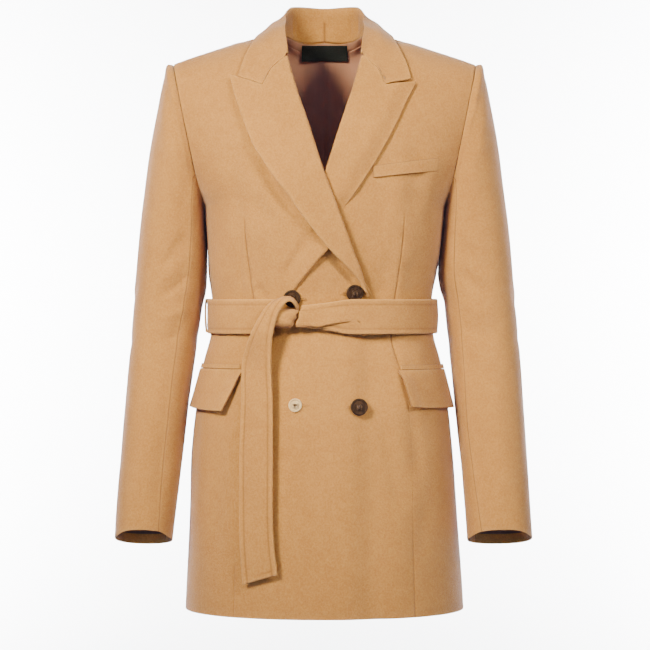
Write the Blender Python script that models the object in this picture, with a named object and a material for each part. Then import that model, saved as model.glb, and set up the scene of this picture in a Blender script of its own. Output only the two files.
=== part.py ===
"""A belted, double-breasted wool coat, hollow as if worn, cut and sewn from its real pieces.

Tables are in millimetres and degrees, and meshes in metres. The coat faces -Y, +Z is up and the wearer's
left is +X. The origin is the middle of the neck base, level with the two points where neck and shoulder
seams meet. Each cloth piece is a thin closed wall. The body's form is a stack of rows: flat rings from the
hem to the chest, then yoke rows that end on the armhole. A row's plan is a superellipse quarter, mirrored
for the other side. `across` is the distance from the centre line towards the piece's own side.
"""

import math
from collections import namedtuple

import bmesh
import bpy
import numpy as np

MM = 0.001
SEAM_GAP = 0.3

# Cloth thicknesses.
BODY_CLOTH = 2.0
LAPEL_CLOTH = 2.6
COLLAR_CLOTH = 3.0
BELT_CLOTH = 3.5
TRIM_CLOTH = 1.5
LINING_CLOTH = 0.8

RIGHT, LEFT = -1, 1  # the wearer's sides, as the sign of X
FRONT, BACK = -1, 1  # as the sign of Y

# The flat rings of the body, from the hem up to the chest.
Level = namedtuple("Level", "height half_width front_depth back_depth squareness")
LEVELS = (
    Level(-749, 181.0, 131, 127, 2.15),
    Level(-637, 175.5, 128, 127, 2.20),
    Level(-531, 169.0, 123, 122, 2.25),
    Level(-484, 164.5, 119, 117, 2.30),
    Level(-438, 158.0, 114, 109, 2.30),
    Level(-397, 146.5, 106, 98, 2.30),
    Level(-371, 143.0, 103, 93, 2.30),
    Level(-346, 143.5, 103, 91, 2.30),
    Level(-309, 148.5, 107, 93, 2.35),
    Level(-270, 153.0, 113, 98, 2.40),
    Level(-228, 157.0, 117, 104, 2.40),
)
HEM_HEIGHT = LEVELS[0].height
CHEST_HEIGHT = LEVELS[-1].height

# The rows above the chest, by the angle where each one meets the armhole: 180 at its foot, 0 at its top.
Yoke = namedtuple("Yoke", "angle centre_height front_depth back_depth squareness dip")
YOKES = (
    Yoke(0, 21, 0, 0, 2.00, 1.0),
    Yoke(17, 8, 33, 54, 2.05, 1.0),
    Yoke(35, -18, 59, 80, 2.10, 1.1),
    Yoke(54, -52, 80, 94, 2.20, 1.2),
    Yoke(95, -125, 106, 105, 2.30, 1.5),
    Yoke(133, -182, 116, 107, 2.40, 1.8),
    Yoke(180, -228, 117, 104, 2.40, 2.0),
)

ARMHOLE_FOOT = np.array((157.0, -228.0))
ARMHOLE_TOP = np.array((196.0, -43.0))
ARMHOLE_REACH = 62.0
ARMHOLE_SQUARENESS = 2.3
ARMHOLE_ANGLES = (180, 165, 149, 133, 116, 95, 74, 54, 35, 17, 0)
FRONT_SLEEVE_SEAM = 116
BACK_SLEEVE_SEAM = 133

BODY_HEIGHTS = (-749, -685, -615, -545, -480, -425, -397, -371, -346, -315, -282, -250, -228)
DART_APEX_HEIGHT = -250

# The neck hole: half its width, and how far down the armhole angle its seam dips at the centre back.
NECK_HALF_WIDTH = 64.0
NECK_BACK_DIP = 26.0
NECK_COLUMNS = (0.0, 0.35, 0.65, 0.88, 1.0)
SIDE_COLUMNS = (0.2, 0.4, 0.6, 0.8, 1.0)

# Lines on a front, as its distance across at each height.
Line = namedtuple("Line", "height across")
FRONT_EDGE = -62.0
BREAK_HEIGHT = -345.0
HIDDEN_BREAK_HEIGHT = -318.0
ROLL_LINE = (
    Line(BREAK_HEIGHT, -57.0),
    Line(-260, -27.0),
    Line(-182, 2.0),
    Line(-118, 22.5),
    Line(-75, 37.0),
    Line(-37, 47.0),
    Line(-29, 50.0),
    Line(-9, 57.0),
    Line(0, NECK_HALF_WIDTH),
)
ROLL_WRAP = 2.5
LONG_SEAM = (
    Line(-749, 115.0),
    Line(-637, 113.0),
    Line(-500, 111.0),
    Line(-438, 97.0),
    Line(-397, 86.0),
    Line(-346, 90.0),
    Line(-290, 98.0),
    Line(-240, 102.0),
    Line(-125, 108.0),
    Line(-43, 124.0),
)
CENTRE_COLUMNS = 6
POCKET_COLUMNS = 5

# Each lapel's outer edge, from the break of the roll up to the peak, and its top from the roll to the peak.
Mark = namedtuple("Mark", "across height")
LAPEL_EDGES = {
    RIGHT: (
        Mark(-52, -337), Mark(-34, -312.5), Mark(-7, -285), Mark(22, -250), Mark(42, -220),
        Mark(67, -188), Mark(89, -152), Mark(108, -105), Mark(119.5, -68),
    ),
    LEFT: (
        Mark(-52, -337), Mark(-34, -314), Mark(-10, -279), Mark(20, -240), Mark(46, -204),
        Mark(66.5, -171), Mark(85.5, -136), Mark(102.5, -100), Mark(113, -73),
    ),
}  # fmt: skip
GORGE = (Mark(47, -37), Mark(65, -54), Mark(78, -76))
COLLAR_TIP = Mark(109, -68)
LAPEL_ROWS = 12
LAPEL_COLUMNS = (0.0, 0.12, 0.25, 0.5, 0.75, 1.0)

# How far layers lie from the body's form.
LAYER_GAP = 1.2
UNDER_FRONT_DROP = 5.4
OVER_FRONT_RISE = 2.0
LAPEL_STAND = 4.0
GORGE_GAP = 1.0

# The tuck that the belt pulls in the top front: its fold line, how proud it stands and how far it fades.
TUCK_TOP = Mark(-5, -285)
TUCK_FOOT = Mark(40, -334)
TUCK_RISE = 4.0
TUCK_WIDTH = 34.0

# Sleeve rings, from the armhole to the cuff: where the ring is nearest to and farthest from the body.
Ring = namedtuple("Ring", "inner_x inner_z outer_x outer_z centre_y half_depth pitch")
SLEEVE_RINGS = (
    Ring(ARMHOLE_FOOT[0], ARMHOLE_FOOT[1], ARMHOLE_TOP[0], ARMHOLE_TOP[1], 0, ARMHOLE_REACH, 0),
    Ring(158.8, -232, 203.0, -41.5, 0, 64.5, 0),
    Ring(159.0, -237, 209.0, -60.0, 0, 66.5, 0),
    Ring(159.0, -243, 217.5, -102.0, 0, 67.0, 0),
    Ring(158.6, -252, 226.5, -151.0, 1, 66.0, 0),
    Ring(157.0, -268, 234.0, -205.0, 2, 64.0, 0),
    Ring(155.5, -290, 240.0, -252.0, 3, 62.0, 0),
    Ring(155.0, -324, 245.5, -310.0, 4, 59.0, 2),
    Ring(161.0, -366, 249.5, -362.0, 4, 56.0, 5),
    Ring(169.5, -440, 256.0, -440.0, -4, 52.8, 9.5),
    Ring(180.5, -535, 263.5, -535.0, -22, 48.5, 13),
    Ring(187.0, -590, 267.5, -590.0, -34, 46.5, 14),
    Ring(190.0, -620, 269.5, -620.0, -41, 45.5, 14),
    Ring(193.0, -656, 271.0, -655.0, -49, 44.5, 14),
)
CUFF_TURN = {RIGHT: 4.0, LEFT: -5.0}

# The belt as a ring round the waist: its outer face, and the gap in front where the knot sits.
BELT_TOP = -348.0
BELT_WIDTH = 44.0
BELT_HALF_WIDTH = 150.4
BELT_FRONT = 113.0
BELT_BACK = 101.0
BELT_SQUARENESS = 2.3
BELT_SEGMENTS = 36
KNOT_LEFT_END = -63.8
KNOT_RIGHT_END = -30.6
KNOT_CENTRE = (-47.0, -116.0, -370.5)
KNOT_HALF_SIZE = (16.0, 12.5, 16.0)
FOLD_CENTRE = (-45.5, -117.0, -355.6)
FOLD_RADIUS = 9.5
FOLD_WALL = 3.0
FOLD_WIDTH = 18.0

# The hanging tails, from the top down. Left and right are as seen from in front of the coat.
TailRow = namedtuple("TailRow", "height left_x right_x left_lift right_lift")
FRONT_TAIL = (
    TailRow(-347, -72, -55.5, 22, 27.5),
    TailRow(-356, -80, -57.5, 17, 27.5),
    TailRow(-368, -86, -60.5, 15, 27.5),
    TailRow(-391, -93, -63.5, 14, 25.0),
    TailRow(-430, -98, -63, 12, 13.0),
    TailRow(-474, -100, -62, 10, 10.5),
    TailRow(-556, -102.5, -62, 9.5, 10.0),
    TailRow(-645, -100.5, -61.5, 9.5, 10.0),
    TailRow(-699, -96, -57, 9.0, 9.5),
)
BACK_TAIL = (
    TailRow(-396, -90, -66, 5.5, 5.5),
    TailRow(-474, -97, -65, 5.0, 5.0),
    TailRow(-556, -99, -65, 5.0, 5.0),
    TailRow(-640, -97, -65, 5.0, 5.0),
)
TAIL_SLANT = 14.0

# Pocket flaps, whose front edges lean out towards the hem.
Flap = namedtuple("Flap", "top_front bottom_front top_back_height bottom_back_height")
FLAPS = {
    RIGHT: Flap(Mark(101.5, -437), Mark(121.5, -491), -437, -487),
    LEFT: Flap(Mark(92.5, -438), Mark(111.5, -482), -438, -484),
}
FLAP_BACK_ANGLE = 83.0
FLAP_SEAT = 0.5
FLAP_FLARE = 6.0
JET_HEIGHT = 6.0
JET_LIFT = 0.5

# The chest welt: bottom and top corners at its front and back ends.
WELT_CORNERS = (Mark(62, -195), Mark(143, -185), Mark(61, -180), Mark(145, -168))

# `seat` is how far a button's underside stands off the front's curve, more where the tuck lifts the cloth.
Button = namedtuple("Button", "name x z radius seat dark")
BUTTONS = (
    Button("button_upper_left", 38.0, -340.2, 10.8, 1.1, True),
    Button("button_upper_right", -40.6, -346.8, 10.8, 2.2, True),
    Button("button_lower_left", 43.4, -483.4, 10.8, 0.7, True),
    Button("button_lower_right", -36.6, -481.1, 8.5, 0.7, False),
)
BUTTON_SIDES = 14
BUTTON_PROFILE = (
    (0.0, 3.0), (0.62, 3.0), (0.80, 4.2), (0.93, 4.0), (1.0, 2.6), (0.9, 0.8), (0.55, 0.0), (0.0, 0.0),
)  # fmt: skip

LOOP_WIDTH = 9.0
LOOP_WALL = 1.2
LINING_GAP = 0.9
LINING_MIDDLE = (0, 0, -300)
LABEL_GAP = 2.0
LABEL_HALF_WIDTH = 31.5
LABEL_TOP = -5.0
LABEL_HEIGHT = 21.0

Finish = namedtuple("Finish", "colour roughness metallic")
WOOL = Finish((0.62, 0.38, 0.19, 1), 0.9, 0.0)
LINING = Finish((0.28, 0.15, 0.11, 1), 0.5, 0.0)
HORN = Finish((0.10, 0.05, 0.03, 1), 0.35, 0.0)
IVORY = Finish((0.72, 0.60, 0.48, 1), 0.35, 0.0)
BLACK = Finish((0.01, 0.01, 0.012, 1), 0.7, 0.0)


# ---------------------------------------------------------------- curves and grids


def follow(table, key, at):
    """Every column of a table at a key, on a smooth curve through its rows."""
    rows = np.array(sorted(table, key=lambda row: getattr(row, key)), float)
    keys = rows[:, table[0]._fields.index(key)]
    slopes = np.gradient(rows, keys, axis=0)
    k = int(np.clip(np.searchsorted(keys, at) - 1, 0, len(keys) - 2))
    step = keys[k + 1] - keys[k]
    t = min(max((at - keys[k]) / step, 0.0), 1.0)
    values = (
        (2 * t**3 - 3 * t**2 + 1) * rows[k]
        + (t**3 - 2 * t**2 + t) * step * slopes[k]
        + (3 * t**2 - 2 * t**3) * rows[k + 1]
        + (t**3 - t**2) * step * slopes[k + 1]
    )
    return type(table[0])(*values)


def along(marks, share):
    """A point on a polyline of marks, by its share of the marks' own steps."""
    points = np.array(marks, float)
    place = share * (len(points) - 1)
    steps = np.arange(len(points))
    return np.array([np.interp(place, steps, values) for values in points.T])


def ease(value, start, end):
    """0 before start and 1 past end, smooth between."""
    t = min(max((value - start) / (end - start), 0.0), 1.0)
    return t * t * (3 - 2 * t)


def grid_normals(grid, inside):
    """A unit normal at each grid point, turned away from the inside point or points."""
    down = np.gradient(grid, axis=0)
    over = np.gradient(grid, axis=1)
    normals = np.cross(over, down)
    normals /= np.linalg.norm(normals, axis=2, keepdims=True)
    return normals if np.sum(normals * (grid - inside)) > 0 else -normals


def seam_normals(grid, inside, seams):
    """Grid normals that lie in the seam's plane along each named side, so that its walls stand apart."""
    normals = grid_normals(grid, np.array(inside, float))
    for rows, columns, axis in seams:
        normals[rows, columns, axis] = 0
    return normals / np.linalg.norm(normals, axis=2, keepdims=True)


def trimmed(grid, *sides, gap=SEAM_GAP):
    """The grid with each named side drawn in by half a gap."""
    grid = grid.copy()
    ends = {
        "first_column": (0, 1, 1),
        "last_column": (-1, -2, 1),
        "first_row": (0, 1, 0),
        "last_row": (-1, -2, 0),
    }
    for side in sides:
        end, neighbour, axis = ends[side]
        edge = grid.take(end, axis)
        inward = grid.take(neighbour, axis) - edge
        edge = edge + inward / np.linalg.norm(inward, axis=1, keepdims=True) * gap / 2
        if axis == 1:
            grid[:, end] = edge
        else:
            grid[end] = edge
    return grid


def mirrored(grid, side):
    return grid * (side, 1, 1)


# ---------------------------------------------------------------- the body's form

Row = namedtuple("Row", "half_width depth squareness centre_height side_x side_height dip")


def armhole(angle):
    """The armhole seam's point: distance across, distance from the middle plane, and height."""
    turn = math.radians(angle)
    power = 2 / ARMHOLE_SQUARENESS
    swing = math.copysign(abs(math.cos(turn)) ** power, math.cos(turn))
    x, z = (ARMHOLE_TOP + ARMHOLE_FOOT) / 2 + (ARMHOLE_TOP - ARMHOLE_FOOT) / 2 * swing
    return x, ARMHOLE_REACH * abs(math.sin(turn)) ** power, z


def level_row(height, face):
    level = follow(LEVELS, "height", height)
    depth = level.front_depth if face == FRONT else level.back_depth
    return Row(level.half_width, depth, level.squareness, height, level.half_width, height, 1.0)


def yoke_row(angle, face):
    yoke = follow(YOKES, "angle", angle)
    depth = yoke.front_depth if face == FRONT else yoke.back_depth
    x, y, z = armhole(angle)
    power = yoke.squareness
    reach = x if y < 1e-6 else x / (1 - (y / depth) ** power) ** (1 / power)
    return Row(reach, depth, power, yoke.centre_height, x, z, yoke.dip)


def height_at(row, across):
    share = (abs(across) / row.side_x) ** row.dip
    return row.centre_height + (row.side_height - row.centre_height) * share


def turn_at(row, across):
    """The row's plan angle at a distance across."""
    share = min(abs(across) / row.half_width, 1.0)
    return math.copysign(math.asin(share ** (row.squareness / 2)), across)


def row_point(row, turn, face):
    power = 2 / row.squareness
    across = math.copysign(row.half_width * abs(math.sin(turn)) ** power, turn)
    depth = row.depth * max(math.cos(turn), 0.0) ** power
    return np.array((across, face * depth, height_at(row, across)))


def row_through(across, height, face):
    """The row of the form that passes a distance across at a height."""
    if height <= CHEST_HEIGHT:
        return level_row(height, face)
    above, below = 0.0, 180.0
    for _ in range(30):
        angle = (above + below) / 2
        if height_at(yoke_row(angle, face), across) > height:
            above = angle
        else:
            below = angle
    return yoke_row((above + below) / 2, face)


def form_point(across, height, face):
    row = row_through(across, height, face)
    return row_point(row, turn_at(row, across), face)


def on_form(across, height, lift, face=FRONT):
    """The point above the form by lift, at a distance across and a height."""
    point = form_point(across, height, face)
    over = form_point(across + 1, height, face) - form_point(across - 1, height, face)
    up = form_point(across, height + 1, face) - form_point(across, height - 1, face)
    normal = np.cross(over, up)
    normal *= math.copysign(1, normal[1] * face) / np.linalg.norm(normal)
    return point + normal * lift


def body_rows(face):
    """The rows of a body panel, from the hem to the shoulder."""
    rows = [level_row(height, face) for height in BODY_HEIGHTS]
    return rows + [yoke_row(angle, face) for angle in ARMHOLE_ANGLES[1:]]


def line_across(line, row, guess):
    """Where a row crosses a line, found in a few steps because both slope gently."""
    across = guess
    for _ in range(6):
        across = follow(line, "height", height_at(row, across)).across
    return across


# ---------------------------------------------------------------- meshes


def material_of(name, finish):
    material = bpy.data.materials.get(name) or bpy.data.materials.new(name)
    material.use_nodes = True
    shader = material.node_tree.nodes["Principled BSDF"]
    shader.inputs["Base Color"].default_value = finish.colour
    shader.inputs["Roughness"].default_value = finish.roughness
    shader.inputs["Metallic"].default_value = finish.metallic
    return material


def add_object(name, mesh, finish):
    """A named object of a bmesh, with its faces outwards and its own material."""
    bmesh.ops.recalc_face_normals(mesh, faces=mesh.faces)
    data = bpy.data.meshes.new(name)
    mesh.to_mesh(data)
    mesh.free()
    data.shade_smooth()
    data.set_sharp_from_angle(angle=math.radians(40))
    piece = bpy.data.objects.new(name, data)
    piece.data.materials.append(material_of(name + "_finish", finish))
    bpy.context.scene.collection.objects.link(piece)
    return piece


Slit = namedtuple("Slit", "column apex_row")


def cloth_wall(name, outer, thickness, finish, inside=(0, 0, 0), normals=None, slit=None):
    """A closed wall of cloth: the outer grid, an inner one a thickness away, and the rims between them.

    Each cell is split along the diagonal that stands proud, so that layers of one form stay parallel.
    """
    if normals is None:
        normals = grid_normals(outer, np.array(inside, float))
    inner = outer - normals * thickness
    over = np.gradient(outer, axis=1)
    over /= np.linalg.norm(over, axis=2, keepdims=True)
    mesh = bmesh.new()
    corners = {}
    pairs = {}

    def corner(row, column, past_slit):
        split = slit is not None and column == slit.column and row < slit.apex_row
        key = (row, column, past_slit and split)
        if key not in corners:
            apart = (SEAM_GAP / 2 if past_slit else -SEAM_GAP / 2) if split else 0.0
            shift = over[row, column] * apart
            top, bottom = (mesh.verts.new((layer[row, column] + shift) * MM) for layer in (outer, inner))
            corners[key] = top
            pairs[top] = bottom
        return corners[key]

    for row in range(outer.shape[0] - 1):
        for column in range(outer.shape[1] - 1):
            past = slit is not None and column >= slit.column
            places = ((row, column), (row, column + 1), (row + 1, column + 1), (row + 1, column))
            first, second, third, fourth = (corner(*place, past) for place in places)
            rise = outer[places[0]] + outer[places[2]] - outer[places[1]] - outer[places[3]]
            proud = rise @ normals[row, column] > -0.001
            halves = ((first, second, third), (first, third, fourth))
            other_halves = ((first, second, fourth), (second, third, fourth))
            for half in halves if proud else other_halves:
                mesh.faces.new(half)
    rims = [edge.verts[:] for edge in mesh.edges if edge.is_boundary]
    for face in mesh.faces[:]:
        mesh.faces.new([pairs[vertex] for vertex in face.verts])
    for first, second in rims:
        mesh.faces.new((first, second, pairs[second], pairs[first]))
    return add_object(name, mesh, finish)


# ---------------------------------------------------------------- fronts, backs and lining

BODY_MIDDLE = (0, 0, -400)
# Seams of a body panel, as rows, columns and the axis across the seam's plane.
SIDE_SEAM = (slice(0, len(BODY_HEIGHTS)), -1, 1)
SHOULDER_SEAM = (-1, slice(None), 1)
CENTRE_SEAM = (slice(None), 0, 0)


def front_lift(side, across, height):
    """How far a front's outer face lies from the form: the top front over the other one and its lapel."""
    open_neck = ease(height, -150, -200)
    if side == LEFT:
        return -UNDER_FRONT_DROP * ease(across, 100, 66) * open_neck
    over_lapel = OVER_FRONT_RISE * ease(across, 95, 62) * ease(height, -350, -315) * open_neck
    top, foot = np.array(TUCK_TOP, float), np.array(TUCK_FOOT, float)
    run = (foot - top) / np.linalg.norm(foot - top)
    place = np.array((across, height)) - top
    outwards = place @ np.array((-run[1], run[0]))
    ends = ease(place @ run, -25, 5) * ease(place @ run, 95, 55)
    tuck = TUCK_RISE * ends * ease(outwards, -4, 4) * ease(outwards, TUCK_WIDTH, 4)
    return over_lapel + tuck


def front_panel(side):
    """One front, from its edge and roll line to the side seam and armhole, with the long seam as a slit."""
    rows = body_rows(FRONT)
    grid = []
    for row in rows:
        if row.centre_height < BREAK_HEIGHT:
            edge = FRONT_EDGE
        else:
            edge = line_across(ROLL_LINE, row, 0.0) + ROLL_WRAP * ease(row.centre_height, 8, -30)
        seam = line_across(LONG_SEAM, row, 105.0)
        turns = [turn_at(row, across) for across in (edge, seam, row.side_x)]
        shares = list(np.linspace(0, 1, CENTRE_COLUMNS + 1)) + list(np.linspace(1, 2, POCKET_COLUMNS + 1)[1:])
        grid.append([row_point(row, np.interp(share, (0, 1, 2), turns), FRONT) for share in shares])
    grid = np.array(grid)
    lifts = np.array([[front_lift(side, point[0], point[2]) for point in points] for points in grid])
    grid = grid + grid_normals(grid, BODY_MIDDLE) * lifts[..., None]
    grid = trimmed(grid, "last_column", "last_row")
    slit = Slit(CENTRE_COLUMNS, BODY_HEIGHTS.index(DART_APEX_HEIGHT))
    name = "front_right" if side == RIGHT else "front_left"
    normals = seam_normals(grid, BODY_MIDDLE, (SIDE_SEAM, SHOULDER_SEAM))
    cloth_wall(name, mirrored(grid, side), BODY_CLOTH, WOOL, normals=mirrored(normals, side), slit=slit)


def back_columns():
    """Plan shares of the back's columns: those that end on the neck seam, then those on the shoulder seam."""
    neck = math.asin(NECK_HALF_WIDTH / ARMHOLE_TOP[0]) / (math.pi / 2)
    beyond = [neck + (1 - neck) * share for share in SIDE_COLUMNS]
    return neck, [share * neck for share in NECK_COLUMNS] + beyond


def neck_dip(share):
    """The armhole angle at which a back column meets the neck seam, 0 for columns on the shoulder seam."""
    neck, _ = back_columns()
    return NECK_BACK_DIP * math.sqrt(max(1 - (share / neck) ** 2, 0.0))


def back_point(share, angle):
    row = yoke_row(angle, BACK)
    return row_point(row, turn_at(row, row.side_x) * share, BACK)


def back_grid(shares, heights, angles):
    """The back's form on columns of plan shares: flat rows, then rows that bend down round the neck seam."""
    rows = [level_row(height, BACK) for height in heights]
    grid = [[row_point(row, math.pi / 2 * share, BACK) for share in shares] for row in rows]
    dips = [neck_dip(share) for share in shares]
    for angle in angles:
        grid.append([back_point(share, dip + angle * (180 - dip) / 180) for share, dip in zip(shares, dips)])
    return np.array(grid)


def back_panel(side):
    """One back half, from the centre back seam to the side seam, armhole, shoulder and neck."""
    _, shares = back_columns()
    grid = back_grid(shares, BODY_HEIGHTS, ARMHOLE_ANGLES[1:])
    grid = trimmed(grid, "first_column", "last_column", "last_row")
    name = "back_right" if side == RIGHT else "back_left"
    normals = seam_normals(grid, BODY_MIDDLE, (CENTRE_SEAM, SIDE_SEAM, SHOULDER_SEAM))
    cloth_wall(name, mirrored(grid, side), BODY_CLOTH, WOOL, normals=mirrored(normals, side))


def back_lining():
    """The lining of the upper back, inside the cloth, as far as the open neck shows it."""
    _, shares = back_columns()
    half = back_grid(shares[:-3], BODY_HEIGHTS[-3:], ARMHOLE_ANGLES[1:])
    half[-1] = (half[-1] + half[-2]) / 2
    grid = np.concatenate([mirrored(half, RIGHT)[:, :0:-1], half], axis=1)
    grid = grid - grid_normals(grid, LINING_MIDDLE) * (BODY_CLOTH + LINING_GAP)
    cloth_wall("lining_back", grid, LINING_CLOTH, LINING, LINING_MIDDLE)


def neck_label():
    """A blank label on the lining, just under the neck seam."""
    drop = BODY_CLOTH + LINING_GAP + LINING_CLOTH + LABEL_GAP
    heights = np.linspace(LABEL_TOP, LABEL_TOP - LABEL_HEIGHT, 3)
    widths = np.linspace(-LABEL_HALF_WIDTH, LABEL_HALF_WIDTH, 5)
    grid = np.array([[on_form(x, z, -drop, BACK) for x in widths] for z in heights])
    cloth_wall("neck_label", grid, LINING_CLOTH, BLACK, (0, 0, -20))


# ---------------------------------------------------------------- collar and lapels


def lapel_lift(side, across, height, share):
    """How far a lapel's outer face lies from the form, rising from the roll to its free edge."""
    top_front_edge = -follow(ROLL_LINE, "height", height).across
    covered = ease(across, top_front_edge + 16, top_front_edge + 4) if side == LEFT else 0.0
    stand = LAPEL_STAND * ease(share, 0.1, 1.0) * (1 - covered) * (0.25 + 0.75 * ease(height, -345, -250))
    return front_lift(side, across, height) + LAYER_GAP + LAPEL_CLOTH + stand


def lapel(side):
    """A peaked lapel, folded back along the roll line and lying on its front."""
    peak = LAPEL_EDGES[side][-1]
    top_marks = GORGE + (peak,)
    start = (HIDDEN_BREAK_HEIGHT - BREAK_HEIGHT) / (GORGE[0].height - BREAK_HEIGHT) if side == LEFT else 0.0
    grid = []
    for rise in np.linspace(start, 1, LAPEL_ROWS + 1):
        roll_height = BREAK_HEIGHT + (GORGE[0].height - BREAK_HEIGHT) * rise
        roll = np.array((follow(ROLL_LINE, "height", roll_height).across, roll_height))
        edge = along(LAPEL_EDGES[side], rise)
        points = []
        for share in LAPEL_COLUMNS:
            straight = roll + (edge - roll) * share
            level = np.array(GORGE[0]) + (np.array(peak) - np.array(GORGE[0])) * share
            gorge_share = np.interp(share, (0, 0.25, 0.5, 1.0), (0, 1 / 3, 2 / 3, 1))
            across, height = straight + (along(top_marks, gorge_share) - level) * rise**5
            points.append(on_form(across, height, lapel_lift(side, across, height, share)))
        grid.append(points)
    grid = trimmed(np.array(grid), "last_row", gap=GORGE_GAP)
    name = "lapel_right" if side == RIGHT else "lapel_left"
    cloth_wall(name, mirrored(grid, side), LAPEL_CLOTH, WOOL, (0, 0, -250))


COLLAR_LIFT = LAYER_GAP + COLLAR_CLOTH
CollarStation = namedtuple("CollarStation", "seam roll fall_middle fall_edge")


def collar_stations():
    """Sections of the collar's outer face from the gorge round to the centre back."""
    neck, _ = back_columns()
    seams = [back_point(neck * share, neck_dip(neck * share)) for share in NECK_COLUMNS]
    front_seams = [form_point(follow(ROLL_LINE, "height", z).across, z, FRONT) for z in (-37, -26, -9)]
    notch = GORGE[2]
    return [
        CollarStation(front_seams[0], on_form(47, -36, 4.5), on_form(*notch, COLLAR_LIFT + 1.5),
                      on_form(*COLLAR_TIP, COLLAR_LIFT + 3)),
        CollarStation(front_seams[1], on_form(48, -23, 6), on_form(76, -37, COLLAR_LIFT + 1.5),
                      on_form(103, -46, COLLAR_LIFT + 2)),
        CollarStation(front_seams[2], on_form(50, -2, 9), on_form(72, -14, COLLAR_LIFT + 4),
                      on_form(95, -24, COLLAR_LIFT + 1.5)),
        CollarStation(seams[4], np.array((53, 4, 17)), np.array((71, 3, 11)), np.array((89, 2, -3.0))),
        CollarStation(seams[3], np.array((51, 28, 30)), np.array((69, 36, 19)), np.array((86, 42, -5))),
        CollarStation(seams[2], np.array((42, 51, 39.5)), np.array((56, 64, 20)), np.array((66, 74, -8))),
        CollarStation(seams[1], np.array((23, 64, 40.5)), np.array((31, 79, 18)), np.array((36, 87, -14))),
        CollarStation(seams[0], np.array((0, 68, 40.5)), np.array((0, 84, 17)), np.array((0, 91, -15))),
    ]  # fmt: skip


def collar_section(station):
    """One section from the neck seam up the stand, over the roll and down the fall."""
    rise = station.roll - station.seam
    away = station.fall_middle - station.roll
    foot = station.seam + rise / np.linalg.norm(rise) * LAYER_GAP
    inner = station.roll - away / np.linalg.norm(away) * 2.5 - rise / np.linalg.norm(rise) * 4.0
    outer = station.roll + away / np.linalg.norm(away) * 4.5
    turn = station.roll + rise / np.linalg.norm(rise) * 1.5
    bow = station.fall_edge + (station.fall_middle - station.fall_edge) * 0.5
    upper_fall = (outer + station.fall_middle) / 2
    stand = [foot, (foot + inner) / 2, inner, turn]
    return stand + [outer, upper_fall, station.fall_middle, bow, station.fall_edge]


def collar():
    """The collar, whose stand follows the neck seam and whose fall lies on the shoulders."""
    half = [np.array(collar_section(station)) for station in collar_stations()]
    half[0][5] = on_form(GORGE[1].across, GORGE[1].height, COLLAR_LIFT + 1.5)
    grid = np.array([mirrored(section, RIGHT) for section in half] + half[-2::-1])
    grid = trimmed(grid, "first_row", "last_row", gap=GORGE_GAP)
    neck_axis = grid.mean(axis=1, keepdims=True) * (0.75, 0.75, 1)
    cloth_wall("collar", grid, COLLAR_CLOTH, WOOL, neck_axis)


# ---------------------------------------------------------------- sleeves


def ring_point(ring, angle):
    """A point of a sleeve ring, by its angle from the outer side: forwards is positive."""
    turn = math.radians(angle)
    power = 2 / ARMHOLE_SQUARENESS
    swing = math.copysign(abs(math.cos(turn)) ** power, math.cos(turn))
    reach = -math.copysign(abs(math.sin(turn)) ** power, math.sin(turn)) * ring.half_depth
    x = (ring.outer_x + ring.inner_x) / 2 + (ring.outer_x - ring.inner_x) / 2 * swing
    z = (ring.outer_z + ring.inner_z) / 2 + (ring.outer_z - ring.inner_z) / 2 * swing
    tilt = math.radians(ring.pitch)
    return np.array((x, ring.centre_y + reach * math.cos(tilt), z - reach * math.sin(tilt)))


def sleeve(side):
    """Both pieces of one sleeve, which share their seams' rings and stand a gap off the armhole."""
    rings = []
    cuff_drop = SLEEVE_RINGS[-1].inner_z - SLEEVE_RINGS[7].inner_z
    for ring in SLEEVE_RINGS:
        turned = CUFF_TURN[side] * max((ring.inner_z - SLEEVE_RINGS[7].inner_z) / cuff_drop, 0.0)
        rings.append(ring._replace(inner_x=ring.inner_x + turned))
    forwards = list(ARMHOLE_ANGLES[::-1])
    round_ring = forwards + [360 - angle for angle in ARMHOLE_ANGLES[1:]]
    angles = round_ring[:-1] + [360 + angle for angle in round_ring]
    axis = ARMHOLE_TOP - ARMHOLE_FOOT
    off_armhole = np.array((axis[1], 0, -axis[0])) / np.linalg.norm(axis) * SEAM_GAP
    twice_round = np.array([[ring_point(ring, angle) for angle in angles] for ring in rings])
    twice_round[0] += off_armhole
    normals = grid_normals(twice_round, grid_centres(rings))
    front_seam = angles.index(FRONT_SLEEVE_SEAM)
    back_seam = angles.index(360 - BACK_SLEEVE_SEAM)
    next_front_seam = angles.index(360 + FRONT_SLEEVE_SEAM)
    for part, first, last in (("under", front_seam, back_seam), ("upper", back_seam, next_front_seam)):
        grid = trimmed(twice_round[:, first : last + 1], "first_column", "last_column")
        name = "sleeve_" + part + ("_right" if side == RIGHT else "_left")
        facing = mirrored(normals[:, first : last + 1], side)
        cloth_wall(name, mirrored(grid, side), BODY_CLOTH, WOOL, normals=facing)


def grid_centres(rings):
    """The middle of each ring, shaped to compare with a grid's rows."""
    middles = [((r.outer_x + r.inner_x) / 2, r.centre_y, (r.outer_z + r.inner_z) / 2) for r in rings]
    return np.array(middles)[:, None, :]


# ---------------------------------------------------------------- pockets, belt loops and buttons


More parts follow.
